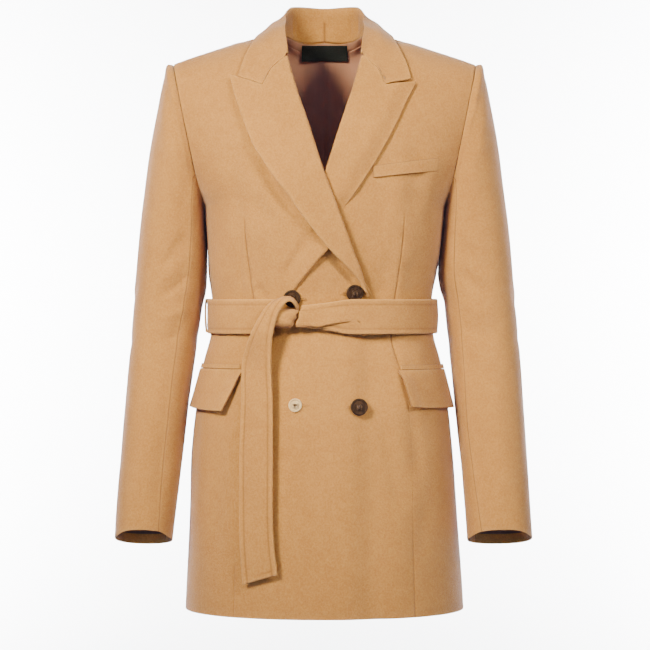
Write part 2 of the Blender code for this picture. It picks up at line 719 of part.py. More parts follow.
def pocket_trims(side):
    """A flap that hangs proud of the front, and the jet above it."""
    flap = FLAPS[side]
    name = "right" if side == RIGHT else "left"
    back_turn = math.radians(FLAP_BACK_ANGLE)

    def lying(front_mark, back_height, share, lift):
        height = front_mark[1] + (back_height - front_mark[1]) * share
        row = level_row(height, FRONT)
        front_turn = turn_at(row, front_mark[0])
        across = row_point(row, front_turn + (back_turn - front_turn) * share, FRONT)[0]
        return on_form(min(across, row.half_width - 1.2), height, lift)

    grid = []
    for drop in np.linspace(0, 1, 5):
        top, bottom = np.array(flap.top_front), np.array(flap.bottom_front)
        front_mark = top + (bottom - top) * drop
        back_height = flap.top_back_height + (flap.bottom_back_height - flap.top_back_height) * drop
        lift = FLAP_SEAT + BODY_CLOTH + FLAP_FLARE * drop**1.3
        grid.append([lying(front_mark, back_height, share, lift) for share in np.linspace(0, 1, 7)])
    cloth_wall("pocket_flap_" + name, mirrored(np.array(grid), side), BODY_CLOTH, WOOL, (0, 0, -450))

    grid = []
    for rise in (JET_HEIGHT + SEAM_GAP * 2, SEAM_GAP * 2):
        front_mark = (flap.top_front.across + 4, flap.top_front.height + rise)
        shares = np.linspace(0, 1, 7)
        lift = JET_LIFT + TRIM_CLOTH
        grid.append([lying(front_mark, flap.top_back_height + rise, share, lift) for share in shares])
    cloth_wall("pocket_jet_" + name, mirrored(np.array(grid), side), TRIM_CLOTH, WOOL, (0, 0, -450))


def chest_welt():
    """The breast pocket's slanting welt on the wearer's left."""
    low_front, low_back, high_front, high_back = (np.array(corner) for corner in WELT_CORNERS)
    grid = []
    for rise in (0.0, 0.5, 1.0):
        start = low_front + (high_front - low_front) * rise
        end = low_back + (high_back - low_back) * rise
        places = [start + (end - start) * share for share in np.linspace(0, 1, 6)]
        lifts = [front_lift(LEFT, *place) + JET_LIFT + TRIM_CLOTH for place in places]
        grid.append([on_form(place[0], place[1], lift) for place, lift in zip(places, lifts)])
    cloth_wall("chest_welt", np.array(grid), TRIM_CLOTH, WOOL, (0, 0, -200))


def button(spec):
    """A dished four-hole style button, turned from its profile and seated on the top front."""
    seat = on_form(-spec.x, spec.z, front_lift(RIGHT, -spec.x, spec.z) + spec.seat) * (-1, 1, 1)
    level = form_point(-spec.x, spec.z, FRONT) * (-1, 1, 1)
    axis = seat - level
    axis /= np.linalg.norm(axis)
    over = np.cross(axis, (0, 0, 1))
    over /= np.linalg.norm(over)
    up = np.cross(over, axis)
    mesh = bmesh.new()
    rings = []
    for share, height in BUTTON_PROFILE:
        count = 1 if share == 0 else BUTTON_SIDES
        ring = []
        for step in range(count):
            turn = 2 * math.pi * step / BUTTON_SIDES
            spoke = (over * math.cos(turn) + up * math.sin(turn)) * spec.radius * share
            ring.append(mesh.verts.new((seat + spoke + axis * height) * MM))
        rings.append(ring)
    for ring, following in zip(rings, rings[1:]):
        for step in range(BUTTON_SIDES):
            corners = [ring[step % len(ring)], ring[(step + 1) % len(ring)],
                       following[(step + 1) % len(following)], following[step % len(following)]]  # fmt: skip
            mesh.faces.new(list(dict.fromkeys(corners)))
    add_object(spec.name, mesh, HORN if spec.dark else IVORY)


def belt_loop(side):
    """A narrow strap at the side seam that keeps the belt at the waist."""
    top, foot = BELT_TOP + 1.5, BELT_TOP - BELT_WIDTH - 1.5
    body_top = level_row(top + 7, FRONT).half_width + 0.6
    body_foot = level_row(foot - 7, FRONT).half_width + 0.6
    out = BELT_HALF_WIDTH + 0.4 + LOOP_WALL
    path = (
        (body_top + LOOP_WALL, top + 5),
        (body_top + LOOP_WALL + 0.4, top + 2),
        (out - 0.7, top + LOOP_WALL),
        (out, top - 3),
        (out, foot + 3),
        (out - 0.7, foot - LOOP_WALL),
        (body_foot + LOOP_WALL + 0.4, foot - 2),
        (body_foot + LOOP_WALL, foot - 5),
    )
    half = LOOP_WIDTH / 2
    grid = np.array([[(x, y, z) for y in (-half, half)] for x, z in path])
    name = "belt_loop_" + ("right" if side == RIGHT else "left")
    cloth_wall(name, mirrored(grid, side), LOOP_WALL, WOOL, (side * 130, 0, (top + foot) / 2))


# ---------------------------------------------------------------- belt


def belt_point(turn, height):
    """The belt's outer face, by the turn from the centre front towards the wearer's left."""
    power = 2 / BELT_SQUARENESS
    depth = BELT_FRONT if math.cos(turn) > 0 else BELT_BACK
    x = math.copysign(BELT_HALF_WIDTH * abs(math.sin(turn)) ** power, math.sin(turn))
    y = -math.copysign(depth * abs(math.cos(turn)) ** power, math.cos(turn))
    return np.array((x, y, height))


def belt_turn(x):
    return math.copysign(math.asin((abs(x) / BELT_HALF_WIDTH) ** (BELT_SQUARENESS / 2)), x)


def belt_around():
    """The stretch from the knot round the waist and back to the knot, drawn narrower where it enters it."""
    start, end = belt_turn(KNOT_RIGHT_END), belt_turn(KNOT_LEFT_END) + 2 * math.pi
    grid = []
    for share in np.linspace(0, 1, BELT_SEGMENTS + 1):
        turn = start + (end - start) * share
        gathered = ease(share, 0.06, 0.0)
        top = BELT_TOP - 8 * gathered
        foot = BELT_TOP - BELT_WIDTH + 7 * gathered
        grid.append([belt_point(turn, top), belt_point(turn, (top + foot) / 2), belt_point(turn, foot)])
    grid = np.array(grid)
    cloth_wall("belt_around", grid, BELT_CLOTH, WOOL, (0, 0, BELT_TOP - BELT_WIDTH / 2))


def belt_knot():
    """The knot's wrapped cloth, as one rounded pad between the ends of the belt."""
    mesh = bmesh.new()
    bmesh.ops.create_uvsphere(mesh, u_segments=12, v_segments=8, radius=1.0)
    for vertex in mesh.verts:
        plump = [math.copysign(abs(value) ** 0.75, value) for value in vertex.co]
        vertex.co = [(c + v * h) * MM for c, v, h in zip(KNOT_CENTRE, plump, KNOT_HALF_SIZE)]
    add_object("belt_knot", mesh, WOOL)


def belt_fold():
    """The arch where the front tail turns over the top of the knot."""
    x, y, z = FOLD_CENTRE
    grid = []
    for degrees in np.linspace(15, 165, 9):
        turn = math.radians(degrees)
        foot = (x + FOLD_RADIUS * math.cos(turn), z + FOLD_RADIUS * math.sin(turn))
        grid.append([(foot[0], y - FOLD_WIDTH / 2, foot[1]), (foot[0], y + FOLD_WIDTH / 2, foot[1])])
    cloth_wall("belt_fold", np.array(grid), FOLD_WALL, WOOL, FOLD_CENTRE)


def belt_tail(name, rows, thickness, slant):
    """A hanging end of the belt, as a strip whose edges stand off the front."""
    grid = []
    for row in rows:
        last = row is rows[-1]
        points = []
        for share in np.linspace(0, 1, 4):
            x = row.left_x + (row.right_x - row.left_x) * share
            height = row.height + (slant * (share - 0.5) if last else 0.0)
            lift = row.left_lift + (row.right_lift - row.left_lift) * share
            points.append(on_form(-x, height, lift) * (-1, 1, 1))
        grid.append(points)
    cloth_wall(name, np.array(grid), thickness, WOOL, (0, 0, -500))


# ---------------------------------------------------------------- the coat


def clear_scene():
    for old in list(bpy.data.objects):
        bpy.data.objects.remove(old, do_unlink=True)


def build_coat():
    clear_scene()
    for side in (RIGHT, LEFT):
        front_panel(side)
        back_panel(side)
        sleeve(side)
        lapel(side)
        pocket_trims(side)
        belt_loop(side)
    collar()
    chest_welt()
    back_lining()
    neck_label()
    for spec in BUTTONS:
        button(spec)
    belt_around()
    belt_knot()
    belt_fold()
    belt_tail("belt_tail_front", FRONT_TAIL, BELT_CLOTH, TAIL_SLANT)
    belt_tail("belt_tail_back", BACK_TAIL, BELT_CLOTH, 0.0)


build_coat()
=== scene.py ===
"""Looks of a belted, double-breasted wool coat, built round its fixed frame.

Every cloth piece is a thin shell on the form of its frame solid: the solid's two faces are read as grids of
points, drawn finer on smooth curves, then creased, pressed and edged as the sewn cloth is. Lengths in the
tables are in millimetres and meshes are in metres. The coat faces -Y and the wearer's left is +X.
"""

import logging
import math
from dataclasses import dataclass
from enum import Enum
from typing import Any, Callable, Iterable, Sequence

import bmesh
import bpy
import numpy as np
from mathutils import Matrix, Vector


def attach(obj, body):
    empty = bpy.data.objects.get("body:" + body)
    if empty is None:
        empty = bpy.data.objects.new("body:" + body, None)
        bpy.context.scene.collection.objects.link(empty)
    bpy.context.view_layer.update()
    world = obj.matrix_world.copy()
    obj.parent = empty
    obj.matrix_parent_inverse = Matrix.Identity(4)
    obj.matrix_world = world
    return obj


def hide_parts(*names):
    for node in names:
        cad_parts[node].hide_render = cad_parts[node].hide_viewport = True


logging.basicConfig(level=logging.INFO, format="%(name)s: %(message)s")
LOG = logging.getLogger("coat")
MM = 0.001

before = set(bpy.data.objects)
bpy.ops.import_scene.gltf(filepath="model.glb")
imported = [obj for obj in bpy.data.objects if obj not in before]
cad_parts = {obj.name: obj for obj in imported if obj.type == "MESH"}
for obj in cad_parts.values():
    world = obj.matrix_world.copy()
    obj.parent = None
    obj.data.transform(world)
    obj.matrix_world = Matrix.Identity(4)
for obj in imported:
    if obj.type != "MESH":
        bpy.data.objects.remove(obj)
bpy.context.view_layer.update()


# ---------------------------------------------------------------- shader expressions


def joined_by(operation: str, reflected: bool = False) -> Callable[..., "Value"]:
    """A method that joins a value and another one, in that order or reflected, with one Math node."""

    def method(value: "Value", other: object = 0.0) -> "Value":
        """Add the node."""
        pair = (other, value) if reflected else (value, other)
        node = value.recipe.node("ShaderNodeMath", {"operation": operation}, dict(enumerate(pair)))
        return Value(value.recipe, node.outputs[0])

    return method


class Value:
    """A number socket of a material, with the operators that the recipes use."""

    __add__, __radd__ = joined_by("ADD"), joined_by("ADD", reflected=True)
    __sub__, __rsub__ = joined_by("SUBTRACT"), joined_by("SUBTRACT", reflected=True)
    __mul__, __rmul__ = joined_by("MULTIPLY"), joined_by("MULTIPLY", reflected=True)
    sine = joined_by("SINE")

    def __init__(self, recipe: "Recipe", socket: bpy.types.NodeSocket) -> None:
        """Keep the recipe that owns the socket."""
        self.recipe = recipe
        self.socket = socket

    def ramp(self, low: float, high: float) -> "Value":
        """0 below low and 1 above high, smooth between."""
        settings = {"interpolation_type": "SMOOTHSTEP"}
        inputs = {"Value": self, "From Min": low, "From Max": high}
        node = self.recipe.node("ShaderNodeMapRange", settings, inputs)
        return Value(self.recipe, node.outputs["Result"])


class Recipe:
    """One material under construction."""

    def __init__(self, name: str) -> None:
        """Start a material with an empty node tree and its output."""
        self.material = bpy.data.materials.new(name)
        self.material.use_nodes = True
        self.tree = self.material.node_tree
        self.tree.nodes.clear()
        self.output = self.tree.nodes.new("ShaderNodeOutputMaterial")

    def node(self, kind: str, settings: dict | None = None, inputs: dict | None = None) -> bpy.types.Node:
        """Add any node.

        Args:
            kind: The node's type.
            settings: Its properties, set first. A ramp's stops are given as "stops".
            inputs: Socket names or indices with values, Values or sockets.

        Returns:
            The new node.
        """
        node = self.tree.nodes.new(kind)
        for key, value in (settings or {}).items():
            if key == "stops":
                elements = node.color_ramp.elements
                while len(elements) < len(value):
                    elements.new(0.5)
                for element, (place, colour) in zip(elements, value):
                    element.position = place
                    element.color = (*colour, 1.0)
            else:
                setattr(node, key, value)
        for key, value in (inputs or {}).items():
            socket = node.inputs[key]
            if isinstance(value, Value):
                self.tree.links.new(value.socket, socket)
            elif isinstance(value, bpy.types.NodeSocket):
                self.tree.links.new(value, socket)
            else:
                socket.default_value = value
        return node

    def place(self) -> bpy.types.NodeSocket:
        """Object coordinates, in metres."""
        return self.node("ShaderNodeTexCoord").outputs["Object"]

    def surface_map(self) -> bpy.types.NodeSocket:
        """The piece's own map, in metres along the cloth."""
        return self.node("ShaderNodeTexCoord").outputs["UV"]

    def kept(self, name: str) -> Value:
        """A number that the piece's mesh keeps for each point."""
        return Value(self, self.node("ShaderNodeAttribute", {"attribute_name": name}).outputs["Fac"])

    def stretched(self, vector: bpy.types.NodeSocket, scale: Sequence[float]) -> bpy.types.NodeSocket:
        """Coordinates multiplied axis by axis."""
        node = self.node("ShaderNodeVectorMath", {"operation": "MULTIPLY"}, {0: vector, 1: tuple(scale)})
        return node.outputs["Vector"]

    def noise(self, vector: bpy.types.NodeSocket, scale: float, detail: float, rough: float = 0.5) -> Value:
        """Smooth noise from 0 to 1."""
        inputs = {"Vector": vector, "Scale": scale, "Detail": detail, "Roughness": rough}
        return Value(self, self.node("ShaderNodeTexNoise", None, inputs).outputs[0])

    def parts(self, vector: bpy.types.NodeSocket) -> tuple[Value, Value, Value]:
        """The three numbers of a vector."""
        node = self.node("ShaderNodeSeparateXYZ", None, {"Vector": vector})
        return tuple(Value(self, socket) for socket in node.outputs)

    def mixed(self, share: object, first: object, second: object) -> bpy.types.NodeSocket:
        """Two colours mixed by a share."""
        pair = [(*colour, 1.0) if isinstance(colour, tuple) else colour for colour in (first, second)]
        node = self.node("ShaderNodeMix", {"data_type": "RGBA"}, {0: share, 6: pair[0], 7: pair[1]})
        return node.outputs[2]

    def bump(self, height: Value, distance: float, strength: float) -> bpy.types.NodeSocket:
        """A bumped normal."""
        inputs = {"Height": height, "Distance": distance, "Strength": strength}
        return self.node("ShaderNodeBump", None, inputs).outputs["Normal"]

    def finish(self, **inputs: object) -> bpy.types.Material:
        """Close the material with one main shader, its inputs given by their names with _ for a space."""
        named = {key.replace("_", " "): value for key, value in inputs.items()}
        shader = self.node("ShaderNodeBsdfPrincipled", None, named)
        self.tree.links.new(shader.outputs[0], self.output.inputs["Surface"])
        return self.material


# ---------------------------------------------------------------- reading a solid's faces as grids

SIDES = {"right": -1, "left": 1}


@dataclass(frozen=True)
class Both:
    """A value for the wearer's right side and one for the left."""

    right: Any
    left: Any

    def __getitem__(self, name: str) -> Any:
        """The value of one side."""
        return getattr(self, name)


def ease(value: np.ndarray | float, start: float, end: float) -> np.ndarray:
    """0 before start and 1 past end, smooth between."""
    share = np.clip((np.asarray(value, float) - start) / (end - start), 0.0, 1.0)
    return share * share * (3 - 2 * share)


def bell(distance: np.ndarray, width: float) -> np.ndarray:
    """1 where the distance is 0, falling smoothly to nothing at about twice the width."""
    return np.exp(-((distance / width) ** 2))


def unit(vectors: np.ndarray) -> np.ndarray:
    """The vectors at length 1."""
    return vectors / np.maximum(np.linalg.norm(vectors, axis=-1, keepdims=True), 1e-9)


@dataclass
class Wall:
    """A cloth wall's two faces as grids of points in millimetres, rows by columns."""

    outer: np.ndarray
    inner: np.ndarray

    @property
    def thickness(self) -> float:
        """The usual distance between the faces."""
        return float(np.median(np.linalg.norm(self.outer - self.inner, axis=2)))

    @property
    def normals(self) -> np.ndarray:
        """Directions out of the cloth at each point."""
        return unit(self.outer - self.inner)


class FaceWalk:
    """Walks over one face of a wall, row by row, along its triangles."""

    def __init__(self, faces: set) -> None:
        """Keep the triangles of the face."""
        self.faces = faces
        self.used: set = set()

    @property
    def verts(self) -> set:
        """All vertices of the face."""
        return {vert for triangle in self.faces for vert in triangle.verts}

    def rim_neighbours(self, vert: bmesh.types.BMVert) -> list:
        """The neighbours of a vertex along the border of the face."""
        edges = [edge for edge in vert.link_edges if sum(near in self.faces for near in edge.link_faces) == 1]
        return [edge.other_vert(vert) for edge in edges]

    def across(self, first: bmesh.types.BMVert, second: bmesh.types.BMVert) -> bmesh.types.BMVert:
        """The far corner of the next triangle on an edge."""
        for triangle in first.link_faces:
            if triangle in self.faces and triangle not in self.used and second in triangle.verts:
                self.used.add(triangle)
                return next(vert for vert in triangle.verts if vert not in (first, second))
        raise ValueError("no triangle is left on this edge")

    def grid(self, columns: int, start: Sequence[float], towards: Sequence[float]) -> np.ndarray:
        """Read the points.

        Args:
            columns: How many points a row has.
            start: A place near the corner where the first row starts, in millimetres.
            towards: The direction of the first row there.

        Returns:
            The grid in millimetres, rows by columns.
        """
        place, heading = np.array(start, float) * MM, np.array(towards, float)
        corners = [vert for vert in self.verts if len(self.rim_neighbours(vert)) == 2]
        row = [min(corners, key=lambda vert: np.linalg.norm(np.array(vert.co) - place))]
        ways = self.rim_neighbours(row[0])
        ways.sort(key=lambda vert: -(unit(np.array(vert.co - row[0].co)) @ heading))
        row.append(ways[0])
        while len(row) < columns:
            row.append(next(vert for vert in self.rim_neighbours(row[-1]) if vert is not row[-2]))
        rows = [row]
        last = row[1]
        total = len(self.verts) // columns
        while len(rows) < total:
            head = row[0]
            following = [next(vert for vert in self.rim_neighbours(head) if vert is not last)]
            for left, right in zip(row, row[1:]):
                corner = self.across(left, right)
                if corner is following[-1]:
                    corner = self.across(following[-1], right)
                else:
                    self.across(left, corner)
                following.append(corner)
            last, row = head, following
            rows.append(row)
        return np.array([[vert.co[:] for vert in row] for row in rows]) / MM


# How far two points' distance may be from the cloth's thickness for them to be a pair.
PAIRING_SLACK = 0.06


def paired(points: np.ndarray, thickness: float) -> np.ndarray:
    """For each point, the one straight through the cloth.

    Args:
        points: The points of both faces, in mm.
        thickness: The cloth's thickness. The pairs whose distance is nearest it are taken first.

    Returns:
        For each point, the number of its partner.
    """
    apart = np.abs(np.linalg.norm(points[:, None] - points[None], axis=2) - thickness)
    first, second = np.nonzero(np.triu(apart < PAIRING_SLACK, 1))
    partner = np.full(len(points), -1)
    for place in np.argsort(apart[first, second], kind="stable"):
        here, there = first[place], second[place]
        if partner[here] < 0 and partner[there] < 0:
            partner[here], partner[there] = there, here
    return partner


def faces_of(mesh: bmesh.types.BMesh, thickness: float) -> list[FaceWalk]:
    """The two faces of a wall, parted by leaving out its rims."""
    mesh.verts.index_update()
    partner = paired(np.array([vert.co[:] for vert in mesh.verts]) / MM, thickness)
    waiting = set()
    for triangle in mesh.faces:
        corners = {vert.index for vert in triangle.verts}
        if not any(int(partner[corner]) in corners for corner in corners):
            waiting.add(triangle)
    walks = []
    while waiting:
        stack = [waiting.pop()]
        region = set(stack)
        while stack:
            near = {other for edge in stack.pop().edges for other in edge.link_faces} & waiting
            waiting -= near
            region |= near
            stack.extend(near)
        walks.append(FaceWalk(region))
    return sorted(walks, key=lambda walk: -len(walk.faces))[:2]


# How far the coat's sides lean at each height, and how much higher its shoulders are than the frame's.
LEAN = Both(
    (
        (-749, -640, -521, -474, -394, -371, -340, -312, -280, -230),
        (0.0, -0.3, -3.8, -2.6, -2.4, -2.0, -3.6, -3.8, -1.0, 0.0),
    ),
    ((-749, -634, -540, -480, -400, -345, -300), (0.0, -1.8, -3.4, -3.8, -3.3, -2.8, 0.0)),
)
SHOULDER_LIFT = Both(3.4, 2.4)


def settled(points: np.ndarray) -> np.ndarray:
    """The coat's sides as they hang, leaning a little towards the wearer's right at the waist and hips."""
    lean, lift = np.zeros(points.shape[:-1]), np.zeros(points.shape[:-1])
    for name, side in SIDES.items():
        across, height = side * points[..., 0], points[..., 2]
        lean += ease(across, 85, 140) * np.interp(height, *LEAN[name])
        lift += SHOULDER_LIFT[name] * ease(across, 92, 114) * (1 - 0.35 * ease(across, 178, 195))
    return points + np.stack([lean, 0 * lean, lift * ease(points[..., 2], -95, -60)], axis=-1)


def read_wall(
    node: str,
    thickness: float,
    columns: int,
    start: Sequence[float],
    towards: Sequence[float],
    inside: Sequence[float | None] = (0, 0, None),
    weld: float = 0.02,
) -> Wall:
    """Read a frame solid's wall.

    Args:
        node: The solid's name.
        thickness: The cloth's, in millimetres.
        columns: How many points a row has.
        start: A place near the first row's corner, in millimetres.
        towards: The first row's direction.
        inside: A point that the inner face is nearer to, or a vertical axis if its height is None.
        weld: How near points are taken as one, in millimetres.

    Returns:
        The wall.
    """
    mesh = bmesh.new()
    mesh.from_mesh(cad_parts[node].data)
    bmesh.ops.remove_doubles(mesh, verts=mesh.verts, dist=weld * MM)
    bmesh.ops.dissolve_degenerate(mesh, dist=0.5 * weld * MM, edges=mesh.edges)
    mesh.normal_update()
    grids = [walk.grid(columns, start, towards) for walk in faces_of(mesh, thickness)]
    mesh.free()
    middle = np.array([0.0 if value is None else value for value in inside])
    weights = np.array([value is not None for value in inside], float)
    reach = [np.linalg.norm((grid - middle) * weights, axis=2).mean() for grid in grids]
    outer, inner = (grids[0], grids[1]) if reach[0] > reach[1] else (grids[1], grids[0])
    wall = Wall(outer, inner) if node.startswith("sleeve") else Wall(settled(outer), settled(inner))
    LOG.info("read %s: %s, %.2f mm thick", node, outer.shape[:2], wall.thickness)
    return wall


def wall_along(middles: np.ndarray, thickness: float, bulge: np.ndarray | float = 0.0) -> Wall:
    """A wall about a grid of points, bulged out. Its outer face is on the left of the columns' way."""
    down, right = np.gradient(middles, axis=0), np.gradient(middles, axis=1)
    normals = unit(np.cross(down, right))
    middles = middles + normals * np.broadcast_to(bulge, middles.shape[:2])[..., None]
    return Wall(middles + normals * thickness / 2, middles - normals * thickness / 2)


# ---------------------------------------------------------------- drawing cloth finer

# How far the close lines of points are from an edge.
NEAR_EDGE = (0.0, 0.15, 0.45, 0.9, 1.6, 2.6)
# The greatest turn between rows, in degrees, that is drawn as a curve: usually, where cloth is folded
# freely, and where it is turned over sharply.
SHARPEST_CURVE = 44.0
FREE_FOLD = 80.0
SHARP_FOLD = 100.0
# How far in from a pressed edge the nap shows wear from rubbing, with a painted highlight.
PALE_EDGE_REACH = 1.6


def curve_through(
    values: np.ndarray, keys: np.ndarray, at: np.ndarray, sharpest: float = SHARPEST_CURVE
) -> np.ndarray:
    """Points on smooth curves through rows of values, with a corner wherever they turn by more than sharpest.

    Args:
        values: The points, with one row for each key.
        keys: Growing places of the rows.
        at: The places wanted.
        sharpest: The greatest turn, in degrees, that is still a curve.

    Returns:
        One row of points for each place wanted.
    """
    flat = values.reshape(len(keys), -1, 3)
    steps = np.diff(keys)
    chords = np.diff(flat, axis=0) / steps[:, None, None]
    slopes = np.gradient(flat, keys, axis=0)
    arriving, leaving = slopes.copy(), slopes.copy()
    ways = unit(chords)
    corner = (ways[:-1] * ways[1:]).sum(axis=2) < math.cos(math.radians(sharpest))
    arriving[1:-1][corner] = chords[:-1][corner]
    leaving[1:-1][corner] = chords[1:][corner]
    low = np.clip(np.searchsorted(keys, at, side="right") - 1, 0, len(keys) - 2)
    t = ((at - keys[low]) / steps[low])[:, None, None]
    step = steps[low][:, None, None]
    result = (
        (2 * t**3 - 3 * t**2 + 1) * flat[low]
        + (t**3 - 2 * t**2 + t) * step * leaving[low]
        + (3 * t**2 - 2 * t**3) * flat[low + 1]
        + (t**3 - t**2) * step * arriving[low + 1]
    )
    return result.reshape(len(at), *values.shape[1:])


def lengths_along(points: np.ndarray, axis: int) -> np.ndarray:
    """The distance of each point of a grid from the first one of its line."""
    steps = np.linalg.norm(np.diff(points, axis=axis), axis=2)
    pad = [(0, 0), (0, 0)]
    pad[axis] = (1, 0)
    return np.pad(np.cumsum(steps, axis=axis), pad)


def stations(length: float, count: int, near: Sequence[float]) -> np.ndarray:
    """Distances along a stretch: close ones near both ends and even ones between."""
    close = np.array(near) * min(1.0, length / (3.0 * near[-1]))
    middle = np.linspace(close[-1], length - close[-1], count + 2)[1:-1]
    return np.concatenate([close, middle, (length - close)[::-1]])


def joined(stretches: list[np.ndarray]) -> np.ndarray:
    """Stations of several stretches in a row, each shared end once."""
    result = stretches[0]
    for stretch in stretches[1:]:
        result = np.concatenate([result, result[-1] + stretch[1:]])
    return result


class Side(Enum):
    """The four sides of a cloth grid."""

    FIRST_ROW = "first row"
    LAST_ROW = "last row"
    FIRST_COLUMN = "first column"
    LAST_COLUMN = "last column"


class Cloth:
    """A wall drawn fine, to be creased, edged and closed into a mesh. Its lengths are in millimetres."""

    def __init__(
        self,
        name: str,
        wall: Wall,
        step: float = 3.6,
        anchors: Sequence[int] = (),
        near: Sequence[float] = NEAR_EDGE,
        roll: float = 0.0,
        sharpest: float = SHARPEST_CURVE,
    ) -> None:
        """Draw the wall fine.

        Args:
            name: The piece's name.
            wall: The wall that was read.
            step: The usual distance between points.
            anchors: Columns that keep a line of points, with close ones beside it.
            near: The distances of the close lines from an edge or anchor.
            roll: The radius of a roll along the first column, which turns the cloth back under itself.
            sharpest: The greatest turn that is still a curve.
        """
        self.name = name
        self.thickness = wall.thickness
        steps = np.linalg.norm(np.diff(wall.outer, axis=0), axis=2).mean(axis=1)
        keys = np.concatenate([[0.0], np.cumsum(steps)])
        at = stations(keys[-1], max(int(keys[-1] / step), 2), near)
        at = np.unique(np.clip(at, 0.0, keys[-1]))
        lines = curve_through(wall.outer, keys, at, sharpest)
        facing = unit(curve_through(wall.outer - wall.inner, keys, at, sharpest))
        stops = [0, *anchors, wall.outer.shape[1] - 1]
        places = lengths_along(lines, 1)
        spans = [places[:, second] - places[:, first] for first, second in zip(stops, stops[1:])]
        counts = [max(int(np.percentile(span, 90) / step), 2) for span in spans]
        extra = 12 if roll else 0
        sizes = np.array([2 * len(near) + count - 1 for count in counts])
        self.anchors = list(np.cumsum(sizes)[:-1] + extra)
        rows, normals = [], []
        for line, faced, place, *reaches in zip(lines, facing, places, *spans):
            wanted = joined([stations(reach, count, near) for reach, count in zip(reaches, counts)])
            if roll:
                beyond = roll + 0.01 * np.arange(1, len(wanted))
                wanted = np.concatenate([[roll], np.maximum(wanted[1:], beyond)])
            row = curve_through(line[:, None], place, wanted, sharpest)[:, 0]
            out = unit(curve_through(faced[:, None], place, wanted, sharpest)[:, 0])
            if roll:
                row, out = self._rolled(row, out, roll)
            rows.append(row)
            normals.append(out)
        self.points, self.normals = np.array(rows), np.array(normals)
        self.across = lengths_along(self.points, 1)
        self.along = lengths_along(self.points, 0)
        shape = self.across.shape
        self.bend = np.zeros(shape)
        self.press = np.zeros(shape)
        self.under = np.zeros(shape)
        self.drop = np.zeros(shape)
        self.lift = np.zeros(shape)
        # Painted shade in seams, along lying edges and along the stitches: how far the nap goes to the deep
        # colour.
        self.stitch = np.zeros(shape)
        self.shift = np.zeros((*shape, 3))

    @staticmethod
    def _rolled(row: np.ndarray, out: np.ndarray, radius: float) -> tuple[np.ndarray, np.ndarray]:
        """A row with an arc before its first point, which turns down and back under the row."""
        over = unit(row[1] - row[0])
        middle = row[0] - out[0] * radius
        turns = np.radians(np.linspace(168, 0, 13)[:-1])
        arc_out = out[0] * np.cos(turns)[:, None] - over * np.sin(turns)[:, None]
        return np.concatenate([middle + arc_out * radius, row]), np.concatenate([arc_out, out])

    def distance(self, side: Side) -> np.ndarray:
        """How far each point is from a side, along the cloth."""
        if side is Side.FIRST_ROW:
            return self.along
        if side is Side.LAST_ROW:
            return self.along[-1:] - self.along
        if side is Side.FIRST_COLUMN:
            return self.across
        return self.across[:, -1:] - self.across

    def fold_edge(self, *sides: Side, flat: float = 0.94) -> None:
        """Round a turned or pressed edge over the cloth's whole thickness."""
        radius = self.thickness / 2 * flat
        for side in sides:
            inwards = radius - np.minimum(self.distance(side), radius)
            drop = radius - np.sqrt(np.maximum(radius**2 - inwards**2, 0.0))
            self.drop = np.maximum(self.drop, drop)
            self.lift = np.maximum(self.lift, drop)

    def sew_edge(
        self, *sides: Side, depth: float = 0.7, width: float = 2.0, shade: float = 0.7, meet: float = 0.3
    ) -> None:
        """Turn the outer face in along a seam, up to the piece it is sewn to.

        Args:
            sides: The sewn sides.
            depth: How far the face is turned in.
            width: How wide the turn is.
            shade: How dark the shade painted into the seam is.
            meet: How far the edge reaches over the gap to the next piece.
        """
        for side in sides:
            distances = self.distance(side)
            share = np.clip(1 - distances / width, 0.0, 1.0)
            self.drop = np.maximum(self.drop, depth * share**2)
            # Painted shade in the seam's hollow.
            self.paint_shade(shade * bell(distances, 0.7))
            rows = side in (Side.FIRST_ROW, Side.LAST_ROW)
            grid = self.points if rows else self.points.swapaxes(0, 1)
            first = side in (Side.FIRST_ROW, Side.FIRST_COLUMN)
            out = unit(grid[0] - grid[3] if first else grid[-1] - grid[-4])
            out = out[None] if rows else out[:, None]
            self.shift += meet * np.clip(1 - distances / 2.5, 0.0, 1.0)[..., None] * out

    def paint_shade(self, shade: np.ndarray) -> None:
        """Paint shade into the nap, where it is not darker already."""
        self.stitch = np.maximum(self.stitch, shade)

    def outline(self, *sides: Side, shade: float = 1.0, width: float = 0.6) -> None:
        """Paint a thin shadow line into the nap along edges that lie on the cloth beneath."""
        edge = np.min([self.distance(side) for side in sides], axis=0)
        self.paint_shade(shade * bell(edge, width))

    def stitch_line(self, *sides: Side, inside: float, ends: float = 0.0, depth: float = 0.6) -> None:
        """A row of stitches along each side, with the cloth drawn in under it.

        Args:
            sides: The sides it follows.
            inside: Its distance from the side.
            ends: How far from the neighbouring sides it stops.
            depth: How far the thread pulls the cloth in.
        """
        rows, columns = (Side.FIRST_ROW, Side.LAST_ROW), (Side.FIRST_COLUMN, Side.LAST_COLUMN)
        for side in sides:
            distances = self.distance(side) - inside
            pair = columns if side in rows else rows
            inner = np.minimum(self.distance(pair[0]), self.distance(pair[1])) >= ends - 0.01
            self.press -= inner * depth * bell(distances, 1.3)
            # The stitches' dark line: painted shade in the groove that they draw in.
            self.paint_shade(0.9 * inner * bell(distances, 0.7))

    @property
    def outer(self) -> np.ndarray:
        """The finished outer face."""
        return self.points + self.normals * (self.bend + self.press - self.drop)[..., None] + self.shift

    @property
    def inner(self) -> np.ndarray:
        """The finished inner face."""
        depth = self.bend + self.under + self.lift - self.thickness
        return self.points + self.normals * depth[..., None] + self.shift

    def area(self) -> float:
        """The area of the outer face, in square metres."""
        outer = self.outer
        first = np.cross(outer[1:, 1:] - outer[:-1, :-1], outer[1:, :-1] - outer[:-1, 1:])
        return float(np.linalg.norm(first, axis=2).sum() / 2 * MM * MM)

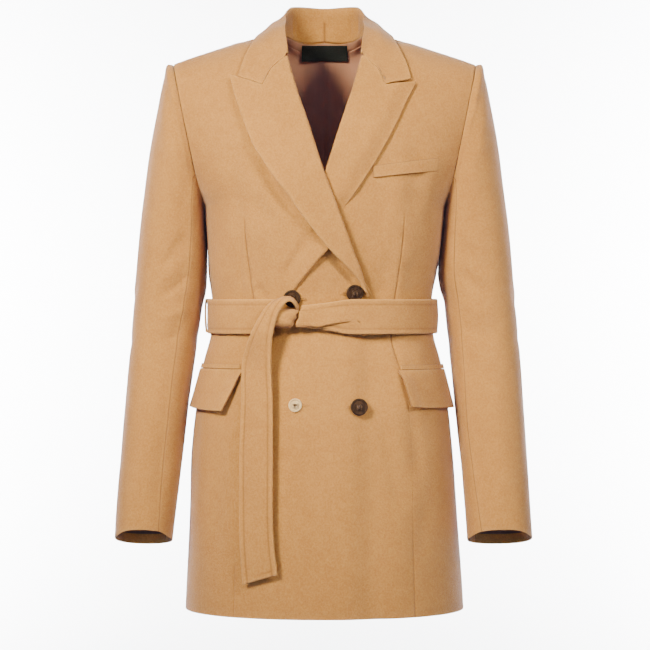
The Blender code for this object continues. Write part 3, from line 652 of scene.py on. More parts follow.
    def build(
        self,
        finishes: Sequence[bpy.types.Material],
        inner_slot: np.ndarray | int = 0,
        replaces: Sequence[str] | None = None,
        slot: str = "wool",
    ) -> bpy.types.Object:
        """Close the cloth into a mesh that rides on the coat's one body.

        Args:
            finishes: The materials, the outer face's first.
            inner_slot: Which finish each inner cell has.
            replaces: The frame's nodes that it stands for, its own name if None.
            slot: A material slot's name. Not used.

        Returns:
            The new piece.
        """
        rows, columns = self.across.shape
        count = rows * columns
        index = np.arange(count).reshape(rows, columns)
        outer, inner = self.outer, self.inner
        row, column = rows // 2, columns // 2
        turn = np.cross(
            outer[row + 1, column + 1] - outer[row, column],
            outer[row + 1, column] - outer[row, column + 1],
        )
        faced = turn @ self.normals[row, column] > 0
        corners = index[:-1, :-1], index[:-1, 1:], index[1:, 1:], index[1:, :-1]
        quads = np.stack(corners, axis=2).reshape(-1, 4)
        if not faced:
            quads = quads[:, ::-1]
        border = np.concatenate([index[0, :-1], index[:-1, -1], index[-1, :0:-1], index[:0:-1, 0]])
        following = np.roll(border, -1)
        rims = np.stack([following, border, border + count, following + count], axis=1)
        if not faced:
            rims = rims[:, ::-1]
        faces = np.concatenate([quads, quads[:, ::-1] + count, rims])
        points = np.concatenate([outer.reshape(-1, 3), inner.reshape(-1, 3)]) * MM
        mesh = bpy.data.meshes.new(f"cloth_{self.name}")
        mesh.from_pydata(points.tolist(), [], faces.tolist())
        flat = np.tile(np.stack([self.across, self.along], axis=2).reshape(-1, 2) * MM, (2, 1))
        layer = mesh.uv_layers.new(name="cloth")
        layer.data.foreach_set("uv", flat[faces.reshape(-1)].reshape(-1).astype(np.float32))
        # Painted shade, and edge wear with its painted highlight, go to the shader as numbers on the points.
        for key, values in (("stitch", self.stitch), ("worn", self.worn())):
            attribute = mesh.attributes.new(key, "FLOAT", "POINT")
            attribute.data.foreach_set("value", np.tile(values.reshape(-1), 2).astype(np.float32))
        for finish in finishes:
            mesh.materials.append(finish)
        cells = np.zeros(len(faces), np.int32)
        cells[len(quads) : 2 * len(quads)] = np.broadcast_to(inner_slot, (rows - 1, columns - 1)).reshape(-1)
        mesh.polygons.foreach_set("material_index", cells)
        mesh.polygons.foreach_set("use_smooth", np.ones(len(faces), bool))
        mesh.validate()
        piece = bpy.data.objects.new(f"cloth_{self.name}", mesh)
        bpy.context.scene.collection.objects.link(piece)
        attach(piece, "root")
        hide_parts(*(replaces if replaces is not None else [self.name]))
        LOG.info("%s: %d triangles, %.4f square metres", self.name, 2 * len(faces), self.area())
        return piece

    def worn(self) -> np.ndarray:
        """How far the nap is lightened along the pressed edges only, for wear from rubbing with a painted
        highlight.
        """
        edge = np.min([self.distance(side) for side in Side], axis=0)
        return np.exp(-edge / PALE_EDGE_REACH) * (self.lift.max() > 0)


# ---------------------------------------------------------------- soft folds


class View(Enum):
    """The side of the coat that a fold is laid out on, as the direction that it faces."""

    FRONT = (0, -1)
    BACK = (0, 1)
    LEFT = (1, 0)
    RIGHT = (-1, 0)


@dataclass(frozen=True)
class Crease:
    """A soft fold along a line of (across, height) places: a ridge if its depth is above 0, or else a trough.

    Across is X for the front and back, and Y for the sides. The skew widens one bank and narrows the other.
    """

    view: View
    line: tuple[tuple[float, float], ...]
    depth: float
    width: float
    skew: float = 0.0

    def height(self, points: np.ndarray, normals: np.ndarray) -> np.ndarray:
        """How far the fold moves the cloth out at each point of a grid."""
        facing = normals[..., 0] * self.view.value[0] + normals[..., 1] * self.view.value[1]
        axis = 0 if self.view in (View.FRONT, View.BACK) else 1
        places = points[..., [axis, 2]]
        marks = np.array(self.line, float)
        lengths = np.linalg.norm(np.diff(marks, axis=0), axis=1)
        starts = np.concatenate([[0.0], np.cumsum(lengths)])
        nearest = np.full(facing.shape, 1e9)
        share = np.zeros(facing.shape)
        side = np.zeros(facing.shape)
        for first, second, length, start in zip(marks, marks[1:], lengths, starts):
            run = (second - first) / length
            offset = places - first
            along = np.clip(offset @ run, 0.0, length)
            gap = np.linalg.norm(offset - along[..., None] * run, axis=-1)
            nearer = gap < nearest
            nearest = np.where(nearer, gap, nearest)
            share = np.where(nearer, (start + along) / starts[-1], share)
            side = np.where(nearer, np.sign(offset @ np.array((-run[1], run[0]))), side)
        width = self.width * (1 + self.skew * side)
        ends = ease(share, 0.0, 0.3) * ease(1 - share, 0.0, 0.3)
        return self.depth * bell(nearest, width) * ends * ease(facing, 0.1, 0.55)


def laid_out(view: View, *rows: tuple) -> tuple[Crease, ...]:
    """The folds of one side of the coat. A row gives a fold's line, depth and width, and perhaps its skew."""
    return tuple(Crease(view, *row) for row in rows)


def slack(points: np.ndarray, amount: float) -> np.ndarray:
    """The slow unevenness of cloth that hangs, the same wherever two pieces meet."""
    x, y, z = (points[..., axis] for axis in range(3))
    waves = (
        np.sin(x / 31 + 1.3 * np.sin(z / 71)) * np.cos(z / 53 + 0.7)
        + 0.7 * np.sin(x / 17 - z / 83 + 2.1) * np.sin(z / 41)
        + 0.6 * np.sin(y / 23 + z / 97) * np.cos(x / 61 + 0.4)
    )
    return amount * waves


# ---------------------------------------------------------------- finishes


@dataclass(frozen=True)
class WoolFinish:
    """Brushed wool coating: a dense felted face with a short nap, a few pale hairs, edges pale from wear and
    a painted highlight, and painted shade.
    """

    colour: tuple[float, float, float] = (0.34, 0.142, 0.036)
    pale: tuple[float, float, float] = (0.50, 0.245, 0.08)
    # deep is also the colour that the painted shade goes towards.
    deep: tuple[float, float, float] = (0.16, 0.062, 0.018)
    # How far the pressed edges go pale for wear with a painted highlight, and how dark the painted shade is.
    wear_and_highlight_mix: float = 0.5
    shadow: float = 0.68
    sheen: float = 0.17
    bloom: tuple[float, float, float] = (0.6, 0.7, 1.0)

    def make(self, name: str) -> bpy.types.Material:
        """Make the material."""
        recipe = Recipe(name)
        place = recipe.place()
        map_ = recipe.surface_map()
        broad = recipe.noise(place, 9, 2)
        patch = recipe.noise(place, 70, 3, 0.6)
        mottle = recipe.noise(place, 430, 3, 0.65)
        nap = recipe.noise(recipe.stretched(map_, (1, 0.22, 1)), 900, 2, 0.6)
        fibre = recipe.noise(place, 1500, 3, 0.7)
        fleck = recipe.noise(recipe.stretched(place, (1, 1, 0.35)), 2300, 1).ramp(0.66, 0.74)
        tone = (broad - 0.5) * 0.35 + (patch - 0.5) * 0.5 + (mottle - 0.5) * 1.5
        tone = tone + (nap - 0.5) * 0.6 + (fibre - 0.5) * 0.7
        shade = recipe.mixed((tone + 0.5).ramp(0.05, 0.95), self.deep, self.pale)
        base = recipe.mixed(0.30, self.colour, shade)
        flecked = recipe.mixed(fleck * 0.30, base, self.pale)
        # Pressed edges pale for wear with a painted highlight; then the painted shade, mixed towards the deep
        # colour.
        worn_and_highlit = recipe.mixed(recipe.kept("worn") * self.wear_and_highlight_mix, flecked, self.pale)
        final = recipe.mixed(recipe.kept("stitch") * self.shadow, worn_and_highlit, self.deep)
        height = fibre * 0.5 + nap * 0.5 + mottle * 1.6 + patch * 0.9
        normal = recipe.bump(height, 0.0006, 0.7)
        return recipe.finish(
            Base_Color=final,
            Roughness=(fibre * 0.1 + 0.84),
            Normal=normal,
            Sheen_Weight=self.sheen,
            Sheen_Roughness=0.5,
            Sheen_Tint=(*self.bloom, 1.0),
            Specular_IOR_Level=0.2,
        )


@dataclass(frozen=True)
class LiningFinish:
    """A smooth woven lining with a soft sheen along its threads."""

    colour: tuple[float, float, float] = (0.38, 0.17, 0.125)
    pale: tuple[float, float, float] = (0.52, 0.25, 0.19)

    def make(self, name: str) -> bpy.types.Material:
        """Make the material."""
        recipe = Recipe(name)
        map_ = recipe.surface_map()
        x, y, _ = recipe.parts(map_)
        threads = (x * 7000.0).sine() * 0.5 + (y * 6200.0).sine() * 0.5
        slub = recipe.noise(recipe.stretched(map_, (1, 0.05, 1)), 700, 2)
        cloud = recipe.noise(recipe.place(), 22, 2)
        tone = (slub - 0.5) * 0.2 + (cloud - 0.5) * 0.7 + threads * 0.08
        base = recipe.mixed((tone + 0.5).ramp(0.1, 1.0), self.colour, self.pale)
        normal = recipe.bump(threads * 0.5 + slub * 0.3, 0.00008, 0.5)
        rough = 0.52 - tone * 0.1
        return recipe.finish(Base_Color=base, Roughness=rough, Normal=normal, Specular_IOR_Level=0.3)


@dataclass(frozen=True)
class HornFinish:
    """Polished button stuff with faint clouds."""

    colour: tuple[float, float, float]
    vein: tuple[float, float, float]
    scale: float = 210.0

    def make(self, name: str) -> bpy.types.Material:
        """Make the material."""
        recipe = Recipe(name)
        place = recipe.place()
        clouds = recipe.noise(recipe.stretched(place, (1, 1, 0.4)), self.scale, 4, 0.65)
        fine = recipe.noise(place, self.scale * 9, 2)
        base = recipe.mixed(clouds.ramp(0.42, 0.72), self.colour, self.vein)
        normal = recipe.bump(clouds * 0.6 + fine * 0.4, 0.00008, 0.35)
        rough = fine * 0.12 + 0.33
        return recipe.finish(Base_Color=base, Roughness=rough, Normal=normal, Specular_IOR_Level=0.16)


@dataclass(frozen=True)
class TapeFinish:
    """Plain woven black tape."""

    colour: tuple[float, float, float] = (0.012, 0.013, 0.016)
    pale: tuple[float, float, float] = (0.030, 0.032, 0.038)

    def make(self, name: str) -> bpy.types.Material:
        """Make the material."""
        recipe = Recipe(name)
        x, y, _ = recipe.parts(recipe.surface_map())
        weave = (x * 6283.0).sine() * (y * 9000.0).sine()
        dust = recipe.noise(recipe.place(), 900, 3)
        base = recipe.mixed((weave * 0.25 + dust).ramp(0.2, 1.1), self.colour, self.pale)
        rough, normal = dust * 0.2 + 0.6, recipe.bump(weave, 0.00006, 0.5)
        return recipe.finish(Base_Color=base, Roughness=rough, Normal=normal, Specular_IOR_Level=0.15)


@dataclass(frozen=True)
class ThreadFinish:
    """Twisted sewing thread."""

    colour: tuple[float, float, float] = (0.05, 0.025, 0.016)

    def make(self, name: str) -> bpy.types.Material:
        """Make the material."""
        recipe = Recipe(name)
        twist = recipe.noise(recipe.stretched(recipe.place(), (1, 1, 3)), 3200, 1)
        base = recipe.mixed(twist, self.colour, tuple(3 * part for part in self.colour))
        rough, normal = twist * 0.1 + 0.7, recipe.bump(twist, 0.00005, 0.5)
        return recipe.finish(Base_Color=base, Roughness=rough, Normal=normal)


@dataclass(frozen=True)
class PaperFinish:
    """The matt pale paper of the floor and backdrop."""

    colour: tuple[float, float, float] = (0.93, 0.93, 0.93)

    def make(self, name: str) -> bpy.types.Material:
        """Make the material."""
        recipe = Recipe(name)
        grain = recipe.noise(recipe.place(), 40, 2)
        base = recipe.mixed(grain, self.colour, tuple(min(part * 1.01, 1.0) for part in self.colour))
        return recipe.finish(Base_Color=base, Roughness=0.95)


class Finishes:
    """All the coat's materials, made once."""

    def __init__(self) -> None:
        """Make the materials."""
        self.wool = WoolFinish().make("wool")
        self.lining = LiningFinish().make("lining")
        # The sleeves' lining is a darker copy of the lining, painted shade for the dark inside of the cuffs.
        self.sleeve_lining_painted_shade = LiningFinish((0.10, 0.05, 0.036), (0.16, 0.08, 0.06)).make("sleeve_lining_painted_shade")
        self.dark_horn = HornFinish((0.022, 0.010, 0.007), (0.060, 0.028, 0.017)).make("dark_button")
        self.ivory = HornFinish((0.50, 0.33, 0.20), (0.60, 0.43, 0.28)).make("pale_button")
        self.tape = TapeFinish().make("label")
        self.thread = ThreadFinish().make("thread")
        self.pale_thread = ThreadFinish((0.08, 0.045, 0.028)).make("pale_thread")


# ---------------------------------------------------------------- sharp folds


@dataclass(frozen=True)
class Lap:
    """A sharp fold that lies over the cloth beside it, along a line of (across, height) places on the front.

    The cloth on the proud side rises to the fold, and the other side dips under it. The heights are given
    for each place of the line.
    """

    line: tuple[tuple[float, float], ...]
    heights: tuple[float, ...]
    proud_side: int
    reach: float
    foot: float = 0.9
    gather: float = 12.0
    overhang: float = 0.0

    def _measure(self, points: np.ndarray) -> tuple[np.ndarray, np.ndarray, np.ndarray]:
        """Signed distance from the line, the height of the fold there, and the way across the line."""
        places = points[..., [0, 2]]
        marks = np.array(self.line, float)
        best = np.full(points.shape[:2], 1e9)
        signed, rise = np.zeros(best.shape), np.zeros(best.shape)
        way = np.zeros((*best.shape, 2))
        for first, second, low, high in zip(marks, marks[1:], self.heights, self.heights[1:]):
            length = np.linalg.norm(second - first)
            run = (second - first) / length
            side = np.array((-run[1], run[0])) * self.proud_side
            offset = places - first
            along = offset @ run
            gap = np.linalg.norm(offset - np.clip(along, 0, length)[..., None] * run, axis=-1)
            near = gap < best
            best = np.where(near, gap, best)
            across = np.where((along < 0) | (along > length), np.sign(offset @ side) * gap, offset @ side)
            signed = np.where(near, across, signed)
            rise = np.where(near, low + (high - low) * ease(along / length, 0, 1), rise)
            way = np.where(near[..., None], side, way)
        return signed, rise, way

    def fold(self, cloth: Cloth) -> None:
        """Draw the cloth's points towards the line and raise its outer face along it."""
        signed, _, way = self._measure(cloth.points)
        close = np.clip(np.abs(signed) / self.gather, 0.0, 1.0)
        move = (np.sign(signed) * np.abs(signed) * close - signed)[..., None] * way
        normals = cloth.normals
        back = -(normals[..., 0] * move[..., 0] + normals[..., 2] * move[..., 1]) / np.where(
            np.abs(normals[..., 1]) > 0.2, normals[..., 1], -1.0
        )
        weight = ease(-normals[..., 1], 0.2, 0.4)[..., None]
        cloth.points = cloth.points + np.stack([move[..., 0], back, move[..., 1]], axis=-1) * weight
        signed, rise, _ = self._measure(cloth.points)
        proud = ease(signed, -0.05, 0.9) * np.exp(-(np.maximum(signed, 0.0) / self.reach) ** 1.6)
        dip = bell(np.minimum(signed, 0.0), 1.6) * (signed <= 0.4)
        share = np.clip(rise / max(self.heights), 0.0, 1.0)
        cloth.press += rise * proud - self.foot * share * dip
        lean = -self.overhang * share * ease(signed, -0.1, 0.9) * bell(np.maximum(signed, 0.0), 6.0)
        cloth.shift[..., 0] += lean * way[..., 0]
        cloth.shift[..., 2] += lean * way[..., 1]


# ---------------------------------------------------------------- the pieces


@dataclass(frozen=True)
class Cut:
    """The flat size that a piece was cut to, in metres: its width, its length and its area."""

    width: float
    length: float
    area: float


class Hold(Enum):
    """How a sheet is held."""

    DRAPED = "draped"
    HUNG = "hung"
    LAID = "laid"
    FOLDED = "folded"
    STRETCHED = "stretched"


@dataclass
class Sewn:
    """What every sub-assembly shares: the finishes and the closing of its cloth."""

    finishes: Finishes

    def close(
        self,
        cloth: Cloth,
        cut: Cut,
        hold: Hold,
        rests_on: Sequence[str] = (),
        lined: np.ndarray | int = 0,
        finishes: Sequence[bpy.types.Material] | None = None,
        **named: object,
    ) -> bpy.types.Object:
        """Args:
            cloth: The finished cloth.
            cut: Its flat size. Not used.
            hold: How it is held. Not used.
            rests_on: The pieces that it lies on. Not used.
            lined: Which inner cells are lining, as 1.
            finishes: Its materials, if not wool and the coat's lining.
            named: Other arguments of the build.

        Returns:
            The new piece.
        """
        piece = cloth.build(finishes or [self.finishes.wool, self.finishes.lining], lined, **named)
        return piece


@dataclass
class Body(Sewn):
    """The two fronts and the two halves of the back."""

    cloth: float = 2.0
    front_columns: int = 12
    long_seam: int = 6
    back_columns: int = 10
    hem: float = -749.0
    edge_across: float = 62.0
    hem_turn: float = 38.0
    facing: float = 95.0
    dart_apex: float = -245.0
    belt_line: float = -372.0
    # How much the long seam shows at each height: its groove and its painted shade.
    seam_seen: Both = Both(
        ((-740, -690, -660, -420, -385), (0.4, 0.35, 0.0, 0.0, 1.0)),
        ((-740, -655, -615, -460, -440, -380), (0.9, 0.7, 0.05, 0.05, 1.0, 1.0)),
    )
    steps: Both = Both(2.8, 3.6)
    edge_thinned: float = 0.7
    edge_sunk: float = 5.0
    seam_width: float = 0.75
    dart_fade: float = 30.0
    belt_grip: float = 20.0
    front_cut: Cut = Cut(0.312, 0.826, 0.192)
    back_cut: Cut = Cut(0.246, 0.813, 0.167)
    creases: tuple[Crease, ...] = (
        *laid_out(
            View.FRONT,
            (((-90, -160), (-78, -178), (-64, -206), (-48, -229), (-30, -249)), -5.6, 8.5),
            (((-17, -257), (-6, -270), (4, -281)), -3.6, 5),
            (((6, -290), (20, -305), (33, -319), (45, -334)), -4.6, 6.5),
            (((-20, -262), (-30, -285), (-42, -305), (-55, -330)), -2.8, 8, 0.3),
            (((-96, -216), (-80, -238), (-64, -260)), -2.4, 11),
            (((-107.5, -258), (-107, -300), (-105, -352)), -1.4, 2.2),
            (((-88, -328), (-79, -342), (-70, -352)), -2.2, 6),
            (((-98, -318), (-90, -338), (-84, -352)), 1.3, 7),
            (((14, -290), (30, -318), (34, -338)), -1.5, 13),
            (((70, -480), (77, -515), (89, -579), (94, -630)), -3.0, 12, 0.3),
            (((106, -480), (112, -505), (117, -535), (120, -580)), -2.6, 9, -0.2),
            (((128, -590), (124, -640), (120, -690)), -1.6, 11),
            (((-128, -500), (-136, -560), (-138, -640), (-135, -700)), -2.0, 14),
            (((-112, -470), (-116, -540), (-112, -620)), 1.2, 14),
            (((84, -392), (90, -415), (94, -440)), -1.6, 6),
            (((118, -130), (116, -170), (112, -215), (106, -262)), -1.6, 10),
            (((-118, -140), (-117, -180), (-112, -230), (-104, -270)), -1.8, 11),
            (((136, -160), (134, -205), (128, -250)), 1.4, 10),
            (((104, -298), (112, -325), (116, -346)), -1.6, 9),
            (((70, -300), (72, -325), (78, -346)), -1.3, 10),
            (((112, -398), (120, -420), (124, -440)), 1.5, 9),
        ),
        *laid_out(
            View.BACK,
            (((-40, -395), (-52, -470), (-60, -560), (-64, -680)), -2.4, 20, 0.3),
            (((46, -395), (55, -460), (58, -540), (60, -650)), -2.6, 22, -0.3),
            (((-95, -420), (-108, -500), (-112, -600)), 2.0, 17),
            (((98, -410), (110, -480), (116, -580), (118, -690)), 2.2, 18),
            (((-64, -286), (-58, -318), (-50, -346)), -2.2, 12),
            (((58, -280), (54, -312), (46, -346)), -2.3, 13),
            (((-22, -296), (-24, -322), (-28, -347)), -1.7, 9),
            (((14, -292), (18, -320), (20, -347)), -1.5, 10),
            (((-96, -300), (-92, -326), (-86, -348)), -2.1, 10),
            (((96, -296), (94, -324), (90, -348)), -2.0, 11),
            (((-126, -140), (-122, -185), (-112, -240)), -2.2, 12),
            (((124, -135), (121, -180), (114, -235)), -2.0, 12),
            (((-30, -396), (-32, -415), (-36, -445)), -1.8, 9),
            (((24, -396), (28, -418), (30, -440)), -1.6, 8),
            (((74, -396), (80, -420), (84, -450)), -1.7, 9),
            (((-78, -396), (-84, -418), (-90, -455)), -1.9, 9),
        ),
        *laid_out(
            View.LEFT,
            (((-30, -400), (-36, -450), (-44, -520), (-48, -620)), -2.2, 17),
            (((36, -400), (42, -460), (50, -540)), -2.0, 16),
            (((-24, -290), (-18, -320), (-14, -345)), -1.9, 10),
            (((26, -286), (22, -315), (18, -345)), -1.8, 11),
        ),
        *laid_out(
            View.RIGHT,
            (((-28, -400), (-33, -460), (-42, -540), (-44, -640)), -2.1, 16),
            (((34, -400), (40, -450), (47, -530)), -2.2, 17),
            (((-26, -288), (-20, -318), (-15, -345)), -1.8, 11),
            (((22, -290), (20, -318), (16, -345)), -1.9, 10),
        ),
    )
    coarse_tuck: tuple[tuple[float, float], ...] = ((5, -285), (-40, -334))
    tuck: Lap = Lap(
        line=((12, -274), (5, -284), (-8, -298), (-24, -318), (-40, -339)),
        heights=(1.0, 7.6, 6.4, 4.6, 2.4),
        proud_side=-1,
        reach=26.0,
        foot=2.4,
        overhang=1.8,
    )

    def front(self, name: str) -> bpy.types.Object:
        """Build one front."""
        side = SIDES[name]
        start = (-self.edge_across * side, -120, self.hem)
        wall = read_wall(f"front_{name}", self.cloth, self.front_columns, start, (side, 0, 0), weld=0.45)
        if name == "right":
            self._flatten_tuck(wall)
        cloth = Cloth(f"front_{name}", wall, step=self.steps[name], anchors=(self.long_seam,))
        self._soften(cloth)
        if name == "right":
            self.tuck.fold(cloth)
            thin = ease(cloth.distance(Side.FIRST_COLUMN), 36, 0) * ease(cloth.points[..., 2], -300, -380)
            cloth.press -= self.edge_thinned * thin
            cloth.bend -= self.edge_sunk * thin
        self._long_seam(cloth, name)
        cloth.fold_edge(Side.FIRST_ROW, Side.FIRST_COLUMN)
        if name == "right":
            sunk = ease(cloth.points[..., 2], -385, -400) * ease(cloth.along, 3, 8)
            cloth.drop *= 1 - sunk * (cloth.distance(Side.FIRST_COLUMN) < 4)
        cloth.sew_edge(Side.LAST_COLUMN, Side.LAST_ROW, depth=0.5)
        cells = (cloth.across[:-1, :-1] > self.facing) & (cloth.along[:-1, :-1] > self.hem_turn)
        return self.close(cloth, self.front_cut, Hold.DRAPED, lined=cells.astype(int))

    def back(self, name: str) -> bpy.types.Object:
        """Build one half of the back."""
        side = SIDES[name]
        wall = read_wall(f"back_{name}", self.cloth, self.back_columns, (0, 127, self.hem), (side, 0, 0))
        cloth = Cloth(f"back_{name}", wall)
        self._soften(cloth)
        cloth.fold_edge(Side.FIRST_ROW)
        cloth.sew_edge(Side.FIRST_COLUMN, Side.LAST_COLUMN, Side.LAST_ROW)
        cells = cloth.along[:-1, :-1] > self.hem_turn
        return self.close(cloth, self.back_cut, Hold.DRAPED, lined=cells.astype(int))

    def _flatten_tuck(self, wall: Wall) -> None:
        """Take the frame's broad tuck out of the top front, so that a sharp one can be folded in."""
        top, foot = (np.array(place, float) for place in self.coarse_tuck)
        run = (foot - top) / np.linalg.norm(foot - top)
        offset = wall.outer[..., [0, 2]] - top
        along = offset @ run
        outwards = offset @ np.array((run[1], -run[0]))
        ends = ease(along, -25, 5) * ease(along, 95, 55)
        rise = 4.0 * ends * ease(outwards, -4, 4) * ease(outwards, 34, 4)
        move = wall.normals * rise[..., None]
        wall.outer -= move
        wall.inner -= move

    def _soften(self, cloth: Cloth) -> None:
        """Add the slack of hanging cloth and the folds, except where the cloth is held at the shoulders."""
        points = cloth.points
        loose = ease(points[..., 2], -60, -160)
        held = 1 - 0.7 * bell(points[..., 2] - self.belt_line, self.belt_grip)
        cloth.bend += slack(points, 0.42) * loose * held
        for crease in self.creases:
            cloth.bend += crease.height(points, cloth.normals) * loose

    def _long_seam(self, cloth: Cloth, name: str) -> None:
        """Draw the cloth in along the long seam, from the hem to the point of the dart."""
        middle = cloth.anchors[0]
        distances = cloth.across - cloth.across[:, middle : middle + 1]
        heights = cloth.points[:, middle, 2]
        deep = ease(heights, self.dart_apex, self.dart_apex - self.dart_fade)[:, None]
        seen = np.interp(heights, *self.seam_seen[name])[:, None]
        cloth.press -= (0.2 + 0.8 * seen) * bell(np.where(deep > 0, distances, np.inf), self.seam_width)
        # Painted shade in the long seam, below the dart's point.
        cloth.paint_shade(seen * deep * bell(distances, self.seam_width))
        cloth.press -= 0.35 * seen * deep * bell(distances, 3.2)
        pucker = 0.16 * np.sin(cloth.along / 4.1 + 1.7 * np.sin(cloth.along / 23)) * deep * (0.3 + 0.7 * seen)
        cloth.press += pucker * bell(distances, 5.0) * (1 - bell(distances, 1.2))

    def build(self) -> None:
        """Build all four panels."""
        for name in SIDES:
            self.front(name)
            self.back(name)


@dataclass
class Sleeves(Sewn):
    """Two-piece sleeves, whose heads are eased into the armholes and whose cuffs are plain and open."""

    cloth: float = 2.0
    columns: tuple[tuple[str, int], ...] = (("upper", 14), ("under", 8))
    cuff_front: tuple[float, float, float] = (212.5, -88.3, -646.0)
    sleeve_axis: float = 206.0
    slackness: float = 0.45
    head_ease: float = 0.55
    cuff_turn: float = 12.0
    cuff_rise: float = 5.0
    cuff_swing: Both = Both(1.8, -4.6)
    fullness: Both = Both(
        ((-320, -290, -255, -215, -180), (0.0, 2.5, 4.0, 3.5, 0.0)),
        ((-560, -480, -400, -350, -313, -240, -180), (0.0, 3.0, 3.0, 2.0, 6.0, 4.0, 0.0)),
    )
    seam_moved: Both = Both(
        ((-640, -590, -487, -400, -300, -240), (4.5, 2.5, -0.5, 0.0, 5.0, 8.0)),
        ((-640, -590, -550, -487, -400, -300, -240), (6.5, 11.5, 14.5, 16.5, 10.5, 11.0, 11.0)),
    )
    upper_cuts: Both = Both(Cut(0.392, 0.631, 0.1260), Cut(0.395, 0.631, 0.1323))
    under_cuts: Both = Both(Cut(0.138, 0.473, 0.0437), Cut(0.135, 0.473, 0.0411))
    creases: tuple[Crease, ...] = (
        *laid_out(
            View.FRONT,
            (((206, -40), (199, -66), (193, -84), (185, -125), (176, -167), (170, -236)), -6.2, 6, 0.2),
            (((-205, -40), (-199, -66), (-195, -92), (-189, -124), (-180, -160), (-173, -200)), -5.0, 6, 0.2),
            (((206, -80), (204, -120), (196, -180)), 1.4, 7),
            (((-208, -84), (-205, -125), (-198, -180)), 1.2, 7),
            (((176, -270), (192, -296), (214, -318)), -2.2, 8),
            (((172, -306), (190, -330), (216, -344)), -2.6, 8, 0.3),
            (((170, -346), (192, -362), (222, -372)), 2.0, 8),
            (((174, -380), (196, -392), (226, -394)), -2.2, 8),
            (((-176, -262), (-194, -290), (-212, -312)), -2.3, 8),
            (((-172, -312), (-192, -334), (-218, -348)), -2.6, 8, -0.3),
            (((-170, -352), (-194, -368), (-224, -376)), 2.1, 8),
            (((-176, -388), (-198, -398), (-226, -404)), -2.0, 8),
            (((210, -440), (222, -500), (232, -560), (238, -620)), 1.8, 14),
            (((-212, -440), (-223, -500), (-232, -560), (-240, -620)), 1.8, 14),
            (((196, -500), (206, -560), (214, -610)), -1.8, 11),
            (((-200, -510), (-208, -560), (-218, -625)), -1.7, 11),
        ),
        *laid_out(
            View.LEFT,
            (((-40, -330), (-10, -350), (24, -356)), -0.9, 9),
            (((-34, -392), (-4, -400), (26, -392)), -0.9, 9),
            (((34, -290), (16, -330), (-2, -362)), 1.2, 11),
            (((12, -80), (14, -130), (10, -190), (4, -240)), -1.0, 13),
            (((-22, -430), (-34, -500), (-48, -580)), -1.1, 13),
            (((18, -440), (4, -520), (-14, -600)), -1.2, 13),
        ),
        *laid_out(
            View.RIGHT,
            (((-38, -322), (-8, -344), (26, -352)), -0.9, 9),
            (((-36, -400), (-6, -406), (24, -396)), -0.9, 9),
            (((32, -286), (14, -326), (-4, -356)), 1.2, 11),
            (((8, -80), (12, -135), (9, -185), (2, -245)), -1.1, 13),
            (((-24, -436), (-36, -505), (-50, -590)), -1.1, 13),
            (((16, -446), (2, -515), (-16, -610)), -1.1, 13),
        ),
        *laid_out(
            View.BACK,
            (((178, -280), (196, -312), (222, -330)), -1.6, 9),
            (((176, -340), (198, -362), (226, -366)), -1.7, 9),
            (((180, -396), (202, -404), (228, -396)), -1.4, 9),
            (((-178, -276), (-198, -308), (-222, -324)), -1.6, 9),
            (((-176, -336), (-198, -358), (-226, -362)), -1.7, 9),
            (((-180, -390), (-203, -402), (-228, -398)), -1.4, 9),
            (((206, -440), (220, -500), (228, -580)), 1.1, 14),
            (((-206, -446), (-220, -505), (-229, -575)), 1.1, 14),
            (((196, -90), (192, -130), (184, -180)), -1.5, 9),
            (((-197, -88), (-192, -128), (-184, -176)), -1.5, 9),
        ),
    )

    def wall(self, name: str, part: str, columns: int) -> Wall:
        """Read one piece's wall, whose first column is the front seam."""
        side = SIDES[name]
        x, y, z = self.cuff_front
        way = (side if part == "upper" else -side, 0, 0)
        axis = (side * self.sleeve_axis, -10, None)
        return read_wall(f"sleeve_{part}_{name}", self.cloth, columns, (x * side, y, z), way, inside=axis)

    def _move_front_seam(self, upper: Wall, under: Wall, reaches: np.ndarray) -> None:
        """Move the seam that two walls share round the sleeve.

        Args:
            upper: The upper piece's wall.
            under: The under piece's wall.
            reaches: For each row, how far the seam moves on to the under piece, in mm.
        """
        count = under.outer.shape[1]
        for row, reach in enumerate(reaches):
            share = reach / lengths_along(under.outer[row : row + 1], 1)[0, -1]
            for upper_face, under_face in ((upper.outer, under.outer), (upper.inner, under.inner)):
                ring = np.concatenate([under_face[row, ::-1], upper_face[row]])
                places = lengths_along(ring[None], 1)[0]
                seam, start, end = places[count - 1], places[count], places[-1]
                wanted = np.concatenate([
                    places[:count] * (1 - share),
                    end - (end - places[count:]) * (end - start + share * seam) / (end - start),
                ])
                moved = curve_through(ring[:, None], places, wanted, SHARP_FOLD)[:, 0]
                under_face[row] = moved[:count][::-1]
                upper_face[row] = moved[count:]

    def piece(self, name: str, part: str, wall: Wall) -> bpy.types.Object:
        """Build the upper or under piece of one sleeve."""
        cloth = Cloth(f"sleeve_{part}_{name}", wall, step=3.4, sharpest=SHARP_FOLD)
        points = cloth.points
        from_head = cloth.distance(Side.LAST_ROW)
        loose = ease(from_head, 4, 50)
        cloth.bend += slack(points, self.slackness) * loose
        for crease in self.creases:
            cloth.bend += crease.height(points, cloth.normals) * loose
        eased = self.head_ease * np.sin(cloth.across / 5.3 + 0.8 * np.sin(cloth.across / 31))
        cloth.bend += eased * bell(from_head - 7, 7) * ease(points[..., 2], -190, -90)
        inner = ease(-SIDES[name] * cloth.normals[..., 0], 0.2, 0.75)
        cloth.bend += inner * np.interp(points[..., 2], *self.fullness[name])
        front = ease(-cloth.normals[..., 1], 0.2, 1.0) * bell(cloth.along, 45)
        cloth.shift[..., 2] += self.cuff_rise * front
        cloth.shift[..., 0] += self.cuff_swing[name] * ease(points[..., 2], -440, -640)
        cloth.fold_edge(Side.FIRST_ROW)
